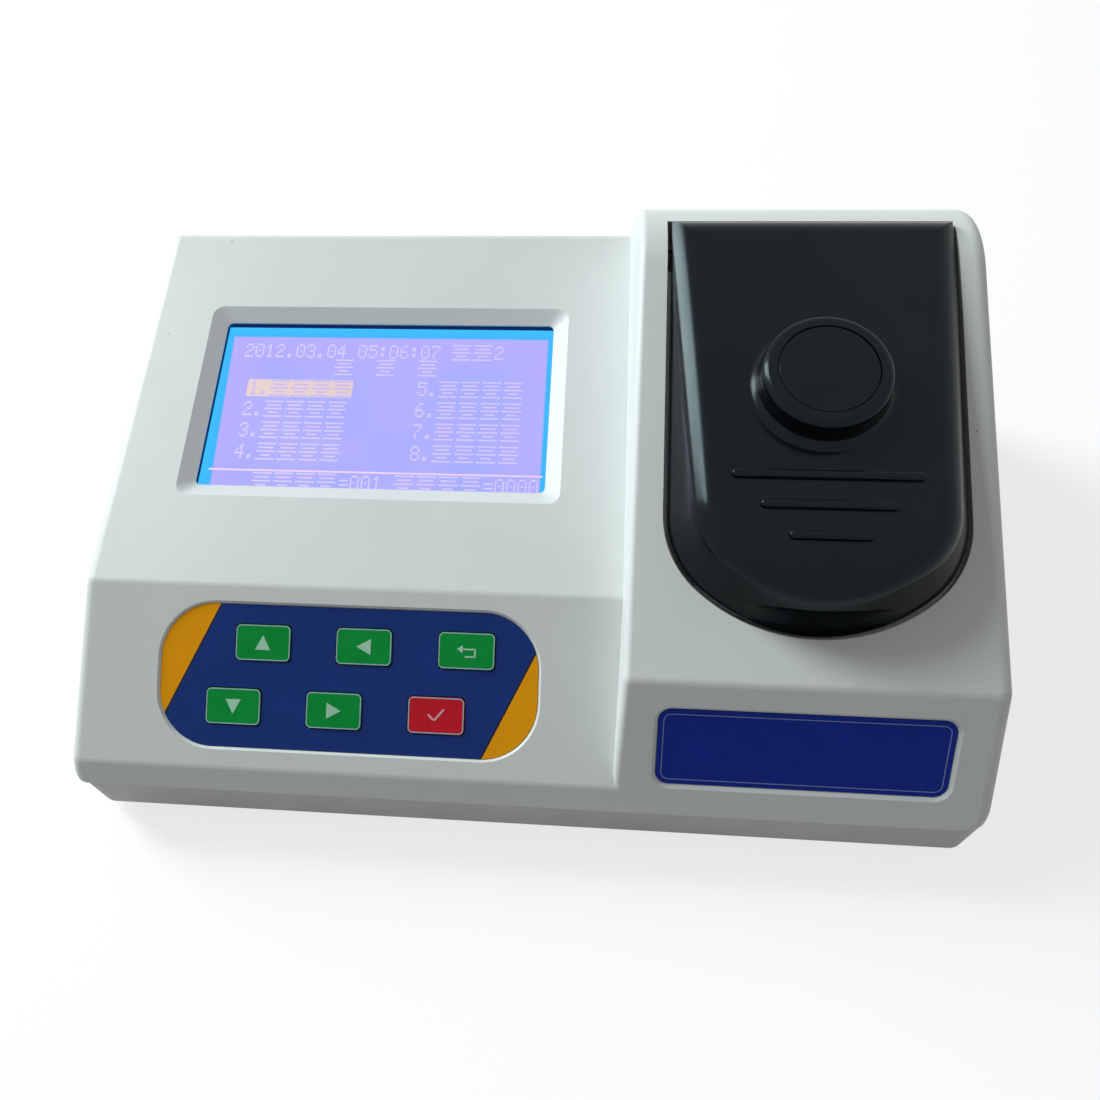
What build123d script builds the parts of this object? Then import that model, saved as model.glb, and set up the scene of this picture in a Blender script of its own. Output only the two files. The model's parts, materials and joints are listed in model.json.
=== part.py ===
"""Bench chlorine analyzer: console with a display and keys, and a measuring tower with a hinged lid.

Millimetres, +Z up, +X to the user's right, +Y to the back. The origin is on the table, under the middle
of the housing. The housing's faces are named by their pitch, the angle that each one rises towards the back.
"""

import math
import os

from build123d import *

os.makedirs("parts", exist_ok=True)

# Housing, from the side: flat faces of known length and pitch, above a level parting line
console_width = 169.2
tower_width = 107.2
lower_front_length = 8.0
front_pitch = 55.0
keypad_slope_length = 56.2
keypad_pitch = 31.0
console_length = 138.3
console_pitch = 10.0
tower_front_length = 44.0
deck_pitch = 20.8
shoulder_radius = 32.0
crease_radius = 4.0
inner_crease_radius = 0.5
console_edge_radius = 3.5
tower_edge_radius = 4.5
step_edge_radius = 2.2
corner_radius = 6.0
tower_corner_radius = 8.0
front_corner_offset = 0.5
side_draft = 3.2
tower_side_draft = 0.9
wall = 2.5

# Step between the console and the tower
step_lean = 4.0
console_overlap = 30.0

# Base shell and what it stands on
base_height = 20.0
base_inset = 0.5
base_draft = 2.0
base_corner_radius = 6.0
base_edge_radius = 1.5
lip_thickness = 1.5
lip_height = 3.0
lip_gap = 0.3
lip_front_margin = 9.0
foot_height = 3.5
foot_radius = 7.0
foot_recess = 0.6
foot_edge_radius = 0.8
foot_side_inset = 30.0
foot_end_inset = 24.0

# Screw columns that hold the two shells together
column_radius = 4.5
column_side_inset = 17.0
column_front_inset = 33.0
column_rear_inset = 11.0
housing_screw_radius = 1.5
housing_screw_head_radius = 2.8
housing_screw_head_height = 2.0
housing_screw_grip = 14.0
housing_screw_hole_radius = 1.8
screw_head_seat = 9.0

# Graphic display and its opening
display_off_middle = 2.4
display_from_rear = 70.8
window_width = 114.0
window_height = 64.0
window_bevel = 5.0
window_depth = 3.2
window_corner_radius = 2.0
window_land = 0.6
collar_margin = 2.0
display_frame_width = 124.0
display_frame_height = 78.0
display_frame_depth = 8.6
display_frame_wall = 0.8
display_glass_thickness = 2.8
display_board_width = 144.0
display_board_height = 104.0
board_thickness = 1.6
display_hole_inset = 4.0
post_radius = 3.0
small_screw_radius = 1.1
small_screw_head_radius = 2.1
small_screw_head_height = 1.6
small_screw_grip = 5.0
pan_head_taper = 20.0
board_hole_radius = 1.3

# Keypad: a printed sheet with six keys that press small domes on a board behind it
keypad_off_middle = 1.9
keypad_from_crease = 27.8
keypad_width = 116.8
keypad_height = 43.9
keypad_radius = 17.0
keypad_recess = 1.2
keypad_bevel = 0.8
keypad_sheet_thickness = 0.6
keypad_floor = 2.0
keypad_collar_rise = 3.0
sheet_fit = 0.15
key_width = 17.0
key_height = 10.9
key_corner_radius = 1.5
key_proud = 0.4
key_gap = 0.35
key_pitch = 31.4
key_row_pitch = 19.72
key_row_shift = 8.55
key_first_x = -26.31
key_first_y = 10.25
key_flange = 1.2
key_flange_thickness = 1.2
key_travel = 0.5
key_edge_radius = 0.35
dome_gap = 0.1
dome_radius = 3.0
dome_height = 0.9
dome_taper = 30.0
keypad_board_width = 120.0
keypad_board_height = 40.0
keypad_hole_inset = 4.0
keypad_screw_grip = 3.5

# Nameplate on the tower's front
nameplate_off_middle = -1.55
nameplate_width = 82.7
nameplate_height = 25.05
nameplate_radius = 4.0
nameplate_recess = 1.6
nameplate_bevel = 1.1
nameplate_thickness = 0.7
nameplate_from_parting = 22.7

# Lid, a tapered bonnet over the cuvette well
lid_off_middle = 0.3
lid_half_width = 42.1
lid_corner_radius = 28.7
lid_corner_forward = 7.4
lid_front_radius = 49.2
lid_straight = 82.4
lid_centre_from_crease = 55.95
lid_pitch = 11.5
lid_rear_rise = 2.0
lid_lean = 24.0
lid_edge_radius = 8.0
lid_brow_length = 20.5
lid_brow_radius = 25.0
lid_brow_turn = 60.0
lid_wall = 2.2
lid_skirt = 4.2
lid_recess = 4.6
lid_gap = 1.3
barrel_radius = 8.0
barrel_gap = 0.8
hinge_pin_radius = 1.25
hinge_running_gap = 0.06
hinge_pin_in_lid = 8.0
ear_thickness = 3.0
knob_from_hinge = 54.5
knob_radius = 18.1
knob_height = 9.5
knob_base_radius = 3.0
knob_rim_radius = 2.5
knob_cap_radius = 14.0
knob_cap_sink = 0.15
knob_cap_fit = 0.25
knob_cap_edge = 0.35
knob_cap_thickness = 1.1
knob_hollow_radius = 14.0
rib_from_knob = 28.2
rib_pitch = 9.03
rib_lengths = (51.7, 36.5, 22.0)
rib_width = 2.6
rib_height = 1.3
rib_edge_radius = 0.9
scallop_sweep = 110.0
scallop_radius = 14.0
scallop_height = 8.5
scallop_stand_off = 11.5
lid_seal_width = 1.6
lid_seal_thickness = 0.3

# Cuvette holder, a black block with a well for a round vial
well_radius = 12.7
well_depth = 40.8
landing_radius = 15.5
landing_depth = 0.6
holder_width = 42.0
holder_depth = 40.0
holder_floor = 5.0
holder_corner_radius = 3.0
holder_fit = 0.3
flange_margin = 7.0
flange_thickness = 2.0
light_path_rise = 14.0
aperture_radius = 2.0
optic_radius = 4.0
optic_fit = 0.1
aperture_length = 2.5
lens_thickness = 2.5
filter_thickness = 3.0
lens_edge_radius = 0.9
optic_boss_spacing = 12.0
optic_boss_radius = 1.6
optic_screw_radius = 0.7
optic_screw_head_radius = 1.3
optic_screw_head_height = 0.8
optic_screw_grip = 4.0
holder_boss = 3.0
optic_board_size = 16.0
led_radius = 2.5
led_length = 5.0
led_dome_radius = 2.0
sensor_radius = 2.9
sensor_length = 4.6

# Rear connector panel, in a pocket of the rear wall
panel_off_middle = -6.4
panel_below_top = 31.0
panel_width = 96.0
panel_height = 40.0
panel_thickness = 2.0
panel_ledge = 6.0
panel_pocket_depth = 7.0
panel_fit = 0.2
pocket_wall = 2.0
pocket_radius = 1.5
switch_x = 34.0
switch_width = 15.0
switch_height = 21.0
switch_bezel = 2.0
switch_body_depth = 14.0
switch_body_width = 13.0
switch_body_height = 19.0
rocker_half_length = 8.0
rocker_rise = 3.0
rocker_dish = 1.4
rocker_depth = 4.0
rocker_foot = 7.0
rocker_width = 10.8
rocker_tilt = 8.0
rocker_gap = 0.3
rocker_end_gap = 0.9
rocker_pocket_depth = 7.0
rocker_pin_radius = 1.2
rocker_pin_length = 2.3
jack_x = 12.0
jack_radius = 5.5
jack_length = 4.0
jack_bore_depth = 9.0
jack_pin_sink = 1.5
jack_body_size = 14.0
jack_bore_radius = 3.2
jack_pin_radius = 1.0
jack_body_depth = 9.0
jack_nut_radius = 7.5
jack_nut_thickness = 1.8
port_x = -22.0
port_flange_width = 31.0
port_flange_height = 12.5
port_flange_thickness = 0.8
port_flange_corner = 1.0
port_shell_width = 17.0
port_shell_height = 8.4
port_shell_depth = 4.0
port_shell_wall = 0.6
port_body_width = 19.0
port_body_height = 10.5
port_body_depth = 8.0
port_insert_sink = 0.8
port_contact_radius = 0.5
port_contact_pitch = 2.77
port_contact_row = 2.84
port_shell_corner = 2.5
port_screw_length = 4.0
port_screw_spacing = 25.0
port_screw_radius = 1.5
port_nut_radius = 2.7
port_nut_height = 4.0

# Main board in the base
main_board_off_middle = 5.6
main_board_before_display = 6.4
main_board_width = 140.0
main_board_depth = 92.0
main_board_lift = 6.0
main_hole_inset = 5.0
standoff_radius = 3.5
processor_place = (-6.0, -6.0)
processor_size = 20.0
processor_height = 1.8
memory_place = (24.0, -6.0)
memory_width = 8.0
memory_length = 12.0
capacitor_place = (-48.0, 20.0)
capacitor_radius = 5.0
capacitor_edge_radius = 0.8
capacitor_height = 12.0
capacitor_pitch = 13.0
memory_height = 1.5
memory_pitch = 14.0
regulator_place = (-52.0, -2.0)
regulator_thickness = 4.5
regulator_fin = 1.5
regulator_width = 15.0
regulator_height = 18.0
buzzer_place = (-50.0, -30.0)
buzzer_hole_radius = 1.2
buzzer_radius = 6.0
buzzer_height = 8.0
coin_cell_place = (46.0, -32.0)
coin_holder_floor = 1.2
coin_holder_wall = 1.5
coin_cell_radius = 10.0
coin_cell_thickness = 3.2
connector_height = 8.0
connector_depth = 6.0
connector_margin = 5.0
display_ribbon_lead = 13.0
keypad_ribbon_lead = 5.5
ribbon_thickness = 0.8
ribbon_radius = 4.0
display_ribbon_width = 40.0
display_connector_height = 5.0
keypad_ribbon_width = 16.0
keypad_connector_height = 4.0
cable_radius = 1.2
cable_bend = 6.0
cable_under_holder = 5.0
cable_spread = 2.5
cable_drop_on_board = 5.0
cable_gap = 0.05
cable_socket = 4.0

outside = 12.0
tiny = 0.001
# A face looks a way when more than this share of its normal points there
looking = 0.25


def back_up(start, length, pitch):
    """Side-view point reached from start by going back and up at a pitch."""
    angle = math.radians(pitch)
    return (start[0] + length * math.cos(angle), start[1] + length * math.sin(angle))


def slope_plane(x, point, pitch):
    """Plane on a sloping face: its X is to the right, its Y up the slope and its Z outwards."""
    angle = math.radians(pitch)
    normal = (0, -math.sin(angle), math.cos(angle))
    return Plane(origin=(x, point[0], point[1]), x_dir=(1, 0, 0), z_dir=normal)


# The step, and what stands in the middle of the console or the tower
overall_width = console_width + tower_width
step_x = overall_width / 2 - tower_width
console_middle = step_x - console_width / 2
tower_middle = step_x + tower_width / 2
display_x = console_middle + display_off_middle
keypad_x = console_middle + keypad_off_middle
panel_x = console_middle + panel_off_middle
main_board_x = console_middle + main_board_off_middle
nameplate_x = tower_middle + nameplate_off_middle
lid_x = tower_middle + lid_off_middle

# Corners of the side view, from the front of the parting line to the back
parting_z = foot_height + base_height
display_from_crease = console_length - display_from_rear
slope_depth = (
    back_up((0, 0), lower_front_length, front_pitch)[0]
    + back_up((0, 0), keypad_slope_length, keypad_pitch)[0]
    + back_up((0, 0), console_length, console_pitch)[0]
)
slope_rise = (
    back_up((0, 0), lower_front_length, front_pitch)[1]
    + back_up((0, 0), keypad_slope_length, keypad_pitch)[1]
    + back_up((0, 0), console_length, console_pitch)[1]
)
draft_slope = math.tan(math.radians(side_draft))
overall_depth = slope_depth + slope_rise * draft_slope
parting_point = (-overall_depth / 2, parting_z)
slope_foot = back_up(parting_point, lower_front_length, front_pitch)
console_crease = back_up(slope_foot, keypad_slope_length, keypad_pitch)
console_back = back_up(console_crease, console_length, console_pitch)
tower_crease = back_up(parting_point, tower_front_length, front_pitch)
deck_slope = math.tan(math.radians(deck_pitch))
deck_back_y = (
    overall_depth / 2 - draft_slope * (tower_crease[1] - parting_z - tower_crease[0] * deck_slope)
) / (1 + draft_slope * deck_slope)
deck_back = (deck_back_y, tower_crease[1] + (deck_back_y - tower_crease[0]) * deck_slope)

panel_z = console_back[1] - panel_below_top

# Working planes on the faces
display_centre = back_up(console_crease, display_from_crease, console_pitch)
keypad_centre = back_up(console_crease, -keypad_from_crease, keypad_pitch)
nameplate_centre = back_up(parting_point, nameplate_from_parting, front_pitch)
display_plane = slope_plane(display_x, display_centre, console_pitch)
keypad_plane = slope_plane(keypad_x, keypad_centre, keypad_pitch)
nameplate_plane = slope_plane(nameplate_x, nameplate_centre, front_pitch)
main_board_y = display_plane.origin.Y - main_board_before_display
lid_centre = back_up(tower_crease, lid_centre_from_crease, deck_pitch)
deck_plane = slope_plane(lid_x, lid_centre, deck_pitch)


def slab(plane, low, high, width, length, radius=0.0, mode=Mode.ADD):
    """Rectangular slab between two heights over a plane, with rounded corners."""
    with BuildSketch(plane.offset(low)) as outline:
        if radius:
            RectangleRounded(width, length, radius)
        else:
            Rectangle(width, length)
    extrude(outline.sketch, amount=high - low, mode=mode)


def rods(plane, places, low, high, radius, mode=Mode.ADD):
    """Round rods between two heights over a plane, one at each place."""
    with BuildSketch(plane.offset(low)) as outline:
        with Locations(*places):
            Circle(radius)
    extrude(outline.sketch, amount=high - low, mode=mode)


def bevelled_recess(plane, depth, bevel, width, length, radius):
    """Recess with round corners and a mouth bevelled at 45 degrees."""
    slab(plane, -depth, outside, width, length, radius, Mode.SUBTRACT)
    with BuildSketch(plane.offset(-bevel)) as mouth:
        RectangleRounded(width, length, radius)
    extrude(mouth.sketch, amount=2 * bevel, taper=-45, mode=Mode.SUBTRACT)


def corner_places(width, length):
    """Four places at the corners of a rectangle."""
    return [(x * width / 2, y * length / 2) for x in (-1, 1) for y in (-1, 1)]


def console_form(inset):
    """Console block with every face moved inwards by inset, and open below the parting line."""
    foot = back_up(parting_point, -2 * inset, front_pitch)
    rear = overall_depth / 2 + outside
    left = -overall_width / 2 - outside
    with BuildPart() as form:
        with BuildSketch(Plane.YZ.offset(left)) as side:
            with BuildLine():
                Polyline(
                    foot,
                    slope_foot,
                    console_crease,
                    back_up(console_crease, console_length + 2 * outside, console_pitch),
                    (back_up(console_crease, console_length + 2 * outside, console_pitch)[0], foot[1]),
                    close=True,
                )
            make_face()
            if inset:
                offset(amount=-inset, kind=Kind.INTERSECTION)
            for crease in (slope_foot, console_crease):
                corner = side.vertices().sort_by_distance((*crease, 0))[0]
                fillet(corner, max(crease_radius - inset, inner_crease_radius))
        extrude(amount=step_x + console_overlap - left)
        with BuildSketch(Plane.XY.offset(parting_z - inset)) as plan:
            with BuildLine():
                Polyline(
                    (-overall_width / 2, parting_point[0] - front_corner_offset),
                    (step_x + console_overlap + outside, parting_point[0] - front_corner_offset),
                    (step_x + console_overlap + outside, overall_depth / 2),
                    (-overall_width / 2, overall_depth / 2),
                    close=True,
                )
            make_face()
            fillet(plan.vertices().group_by(Axis.X)[0], corner_radius)
            if inset:
                offset(amount=-inset, kind=Kind.INTERSECTION)
        extrude(amount=rear, taper=side_draft, mode=Mode.INTERSECT)
    return form.part


def tower_form(inset):
    """Measuring tower with every face moved inwards by inset, and open below the parting line."""
    foot = back_up(parting_point, -2 * inset, front_pitch)
    rear_foot = (overall_depth / 2 + 2 * inset * draft_slope, foot[1])
    with BuildPart() as form:
        with BuildSketch(Plane.YZ.offset(step_x - outside)) as side:
            with BuildLine():
                Polyline(foot, tower_crease, deck_back, rear_foot, close=True)
            make_face()
            if inset:
                offset(amount=-inset, kind=Kind.INTERSECTION)
            corner = side.vertices().sort_by_distance((*tower_crease, 0))[0]
            fillet(corner, max(crease_radius - inset, inner_crease_radius))
            fillet(side.vertices().sort_by_distance((*deck_back, 0))[0], shoulder_radius - inset)
        extrude(amount=overall_width / 2 + outside - step_x + outside)
        with BuildSketch(Plane.XY.offset(parting_z - inset)) as plan:
            with BuildLine():
                Polyline(
                    (-overall_width / 2, parting_point[0] - front_corner_offset),
                    (overall_width / 2, parting_point[0] - front_corner_offset),
                    (overall_width / 2, overall_depth / 2 + 2 * outside),
                    (-overall_width / 2, overall_depth / 2 + 2 * outside),
                    close=True,
                )
            make_face()
            fillet(plan.vertices().group_by(Axis.X)[-1].sort_by(Axis.Y)[0], tower_corner_radius)
            if inset:
                offset(amount=-inset, kind=Kind.INTERSECTION)
        extrude(amount=overall_depth, taper=tower_side_draft, mode=Mode.INTERSECT)
        split(bisect_by=step_plane(inset), keep=Keep.TOP)
    return form.part


def step_plane(inset):
    """Leaning plane of the tower's left side, facing into the tower."""
    lean = math.radians(step_lean)
    pitch = math.radians(console_pitch)
    normal = (math.cos(lean), math.sin(lean) * math.sin(pitch), -math.sin(lean) * math.cos(pitch))
    along = (0, math.cos(pitch), math.sin(pitch))
    return Plane(origin=(step_x + inset, console_crease[0], console_crease[1]), x_dir=along, z_dir=normal)


def place_part(part, name):
    """Label a finished piece and write its file."""
    part.label = name
    export_step(part, f"parts/{name}.step")


def outline_of_lid(plane, reach, straight):
    """Lid outline on a plane: a bowed front, round corners and straight sides towards the hinge."""
    corner = lid_corner_radius + reach - lid_half_width
    front = lid_front_radius + reach - lid_half_width
    half_corner = (lid_bow + math.pi / 2) / 2
    tangent = (front * math.sin(lid_bow), lid_front_centre - front * math.cos(lid_bow))
    middle = (
        lid_corner_centre + corner * math.sin(half_corner),
        -lid_corner_forward - corner * math.cos(half_corner),
    )
    with BuildSketch(plane) as outline:
        with BuildLine():
            side_end = (reach, -lid_corner_forward)
            far_end = (-reach, -lid_corner_forward)
            ThreePointArc(far_end, (-middle[0], middle[1]), (-tangent[0], tangent[1]))
            ThreePointArc((-tangent[0], tangent[1]), (0, lid_front_centre - front), tangent)
            ThreePointArc(tangent, middle, side_end)
            Polyline(side_end, (reach, straight), (-reach, straight), far_end)
        make_face()
    return outline.sketch


def lid_side(inset, rear):
    """Side view of the lid under its top face and brow, with a straight rear behind the hinge axis."""
    with BuildSketch(lid_side_plane.offset(-overall_width)) as side:
        with BuildLine():
            top = Line((rear, -inset), (-lid_brow_start, -inset))
            brow = JernArc(top @ 1, top % 1, lid_brow_radius - inset, lid_brow_turn)
            front = Line(brow @ 1, brow @ 1 + 2 * outside * (brow % 1))
            foot = front @ 1 - Vector(0, overall_depth)
            Polyline(front @ 1, foot, (rear, foot.Y), (rear, -inset))
        make_face()
    return extrude(side.sketch, amount=2 * overall_width, mode=Mode.PRIVATE)


def lid_form(inset, rear):
    """Bonnet with its walls moved inwards by inset, and with straight sides below the deck."""
    root = lid_skirt + lid_edge_radius
    reach = lid_half_width + root * math.tan(lean) - inset / math.cos(lean)
    with BuildPart() as form:
        extrude(
            outline_of_lid(deck_plane.offset(-root), reach, lid_straight + 2 * outside),
            amount=4 * outside,
            taper=lid_lean,
        )
        add(lid_side(inset, rear), mode=Mode.INTERSECT)
        rim = form.edges().filter_by(lambda edge: is_lid_rim(edge, inset))
        fillet(rim, lid_edge_radius - inset)
        extrude(
            outline_of_lid(deck_plane.offset(-root), lid_half_width - inset, lid_straight + 2 * outside),
            amount=4 * outside,
            mode=Mode.INTERSECT,
        )
    return form.part


def is_lid_rim(edge, inset):
    """Whether an edge lies where the lid's top face or brow meets its sides."""
    if edge.geom_type == GeomType.LINE and abs(edge.tangent_at(0).X) > 1 - tiny:
        return False
    brow_centre = Vector(-lid_brow_start, -lid_brow_radius)
    for share in (0, 1 / 3, 1):
        place = lid_side_plane.to_local_coords(edge.position_at(share))
        from_brow = (Vector(place.X, place.Y) - brow_centre).length - (lid_brow_radius - inset)
        on_top = place.X > -lid_brow_start - tiny and abs(place.Y + inset) < tiny
        on_brow = place.X < -lid_brow_start + tiny and abs(from_brow) < tiny
        if not (on_top or on_brow):
            return False
    return True


def hinge_section(radius, top, half_length):
    """Slab along the hinge axis: round below, and open upwards when it has a top."""
    with BuildSketch(hinge_plane.offset(-half_length)) as outline:
        Circle(radius)
        if top:
            with Locations((0, top / 2)):
                Rectangle(2 * radius, top)
    return extrude(outline.sketch, amount=2 * half_length, mode=Mode.PRIVATE)


def pan_screws(plane, places, seat, grip, shank, head, head_height):
    """Screws whose heads stand on a seat height over a plane, with their shanks below it."""
    rods(plane, places, seat - grip, seat, shank)
    with BuildSketch(plane.offset(seat)) as outline:
        with Locations(*places):
            Circle(head)
    extrude(outline.sketch, amount=head_height, taper=pan_head_taper)


# Lid outline, hinge axis, lid top and cuvette place, all worked out from the deck
lean = math.radians(lid_lean)
lid_corner_centre = lid_half_width - lid_corner_radius
lid_bow = math.asin(lid_corner_centre / (lid_front_radius - lid_corner_radius))
lid_front_centre = (lid_front_radius - lid_corner_radius) * math.cos(lid_bow) - lid_corner_forward
lid_front = lid_front_radius - lid_front_centre
lid_brow_start = lid_straight + lid_front - lid_brow_length
recess_reach = lid_half_width + lid_gap
deck_angle = math.radians(deck_pitch)
lid_rear_top = deck_plane.from_local_coords((0, lid_straight, lid_rear_rise))
lid_top_plane = slope_plane(lid_x, (lid_rear_top.Y, lid_rear_top.Z), lid_pitch)
lid_side_plane = Plane(origin=lid_top_plane.origin, x_dir=lid_top_plane.y_dir, z_dir=(1, 0, 0))
hinge_point = lid_top_plane.from_local_coords((0, 0, -barrel_radius))
hinge_plane = Plane(
    origin=hinge_point, x_dir=(0, math.cos(deck_angle), math.sin(deck_angle)), z_dir=(1, 0, 0)
)
well_y = lid_top_plane.from_local_coords((0, -knob_from_hinge, 0)).Y
well_on_deck = (well_y - lid_centre[0]) / math.cos(deck_angle)
flange_top = flange_thickness - lid_recess
flange_width = holder_width + 2 * flange_margin
flange_length = holder_depth / math.cos(deck_angle) + 2 * flange_margin
flange_corners = corner_places(flange_width - flange_margin, flange_length - flange_margin)
flange_screws = [(x, well_on_deck + y) for x, y in flange_corners]
landing_z = (
    lid_centre[1]
    + (well_y - landing_radius - lid_centre[0]) * deck_slope
    + flange_top / math.cos(deck_angle)
    - landing_depth
)
well_floor_z = landing_z - well_depth
holder_bottom_z = well_floor_z - holder_floor
light_path_z = well_floor_z + light_path_rise
cable_drop_z = holder_bottom_z - cable_under_holder

# Heights of the stacked pieces under each face, counted down from the face
display_board_top = -window_depth - display_frame_depth
keypad_floor_under = -keypad_recess - keypad_floor
key_flange_top = keypad_floor_under - dome_gap
keypad_board_top = key_flange_top - key_flange_thickness - key_travel - dome_gap - dome_height
key_rows = {
    "key_up": (0, 0),
    "key_left": (0, 1),
    "key_return": (0, 2),
    "key_down": (1, 0),
    "key_right": (1, 1),
    "key_confirm": (1, 2),
}
display_posts = corner_places(
    display_board_width - 2 * display_hole_inset, display_board_height - 2 * display_hole_inset
)
keypad_posts = corner_places(
    keypad_board_width - 2 * keypad_hole_inset, keypad_board_height - 2 * keypad_hole_inset
)
rear_y = overall_depth / 2 - (panel_z - parting_z) * draft_slope
draft = math.radians(side_draft)
rear_plane = Plane(
    origin=(panel_x, rear_y, panel_z), x_dir=(-1, 0, 0), z_dir=(0, math.cos(draft), math.sin(draft))
)
panel_screws = corner_places(panel_width - panel_ledge, panel_height - panel_ledge)
column_places = [
    (x * (overall_width / 2 - column_side_inset), y)
    for x in (-1, 1)
    for y in (column_front_inset - overall_depth / 2, overall_depth / 2 - column_rear_inset)
]


def key_centre(name):
    """Place of a key on the keypad plane."""
    row, column = key_rows[name]
    return (key_first_x + column * key_pitch - row * key_row_shift, key_first_y - row * key_row_pitch)


def edges_at(part, plane, height):
    """Edges of a part that lie at a height over a plane."""
    return part.edges().filter_by(
        lambda edge: all(
            abs(plane.to_local_coords(edge.position_at(share)).Z - height) < tiny for share in (0, 1 / 3, 1)
        )
    )


# Outer form of the top housing: two blocks with rounded rims
with BuildPart() as console_outer:
    add(console_form(0))
    upright = console_outer.faces().filter_by(lambda face: abs(face.normal_at().Z) < looking)
    sloping = console_outer.faces().filter_by(lambda face: face.normal_at().Z > looking)
    rim = (upright.edges() & sloping.edges()).filter_by(lambda edge: edge.center().X < step_x)
    fillet(rim.sort_by(Axis.Y), console_edge_radius)

with BuildPart() as tower_outer:
    add(tower_form(0))
    sides = tower_outer.faces().filter_by(lambda face: abs(face.normal_at().X) > looking)
    tops = tower_outer.faces().filter_by(
        lambda face: abs(face.normal_at().X) < looking and face.normal_at().Z > -looking
    )
    rim = sides.edges() & tops.edges()
    rim = rim.filter_by(lambda edge: edge.center().X > lid_x)
    fillet(rim.sort_by(SortBy.LENGTH), tower_edge_radius)
    step_side = tower_outer.faces().filter_by(lambda face: face.normal_at().X < -looking)
    rim = step_side.edges().filter_by(lambda edge: edge.center().Z > parting_z + tiny)
    fillet(rim.sort_by(Axis.Y), step_edge_radius)

# Hollow of the top housing: what its collars, posts, pockets and columns leave
panel_pocket = (panel_width + 2 * pocket_wall, panel_height + 2 * pocket_wall)
with BuildPart() as cavity:
    add(console_form(wall))
    add(tower_form(wall))
    slab(
        display_plane,
        -window_depth,
        outside,
        window_width + 2 * window_bevel + 2 * collar_margin,
        window_height + 2 * window_bevel + 2 * collar_margin,
        mode=Mode.SUBTRACT,
    )
    rods(display_plane, display_posts, display_board_top, outside, post_radius, Mode.SUBTRACT)
    slab(
        keypad_plane,
        keypad_floor_under,
        keypad_collar_rise,
        keypad_width + 2 * collar_margin,
        keypad_height + 2 * collar_margin,
        mode=Mode.SUBTRACT,
    )
    rods(keypad_plane, keypad_posts, keypad_board_top, 0, post_radius, Mode.SUBTRACT)
    slab(
        nameplate_plane,
        -nameplate_recess - pocket_wall,
        0,
        nameplate_width + 2 * collar_margin,
        nameplate_height + 2 * collar_margin,
        mode=Mode.SUBTRACT,
    )
    recess_wall = outline_of_lid(
        deck_plane.offset(-lid_recess - pocket_wall), recess_reach + pocket_wall, lid_straight
    )
    extrude(recess_wall, amount=outside, mode=Mode.SUBTRACT)
    rods(deck_plane, flange_screws, -lid_recess - small_screw_grip, 0, post_radius, Mode.SUBTRACT)
    add(
        hinge_section(barrel_radius + barrel_gap + pocket_wall, outside, recess_reach + ear_thickness),
        mode=Mode.SUBTRACT,
    )
    slab(
        rear_plane, -panel_pocket_depth - pocket_wall, outside, *panel_pocket, mode=Mode.SUBTRACT
    )
    rods(Plane.XY, column_places, 0, 2 * overall_depth, column_radius, Mode.SUBTRACT)

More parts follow.
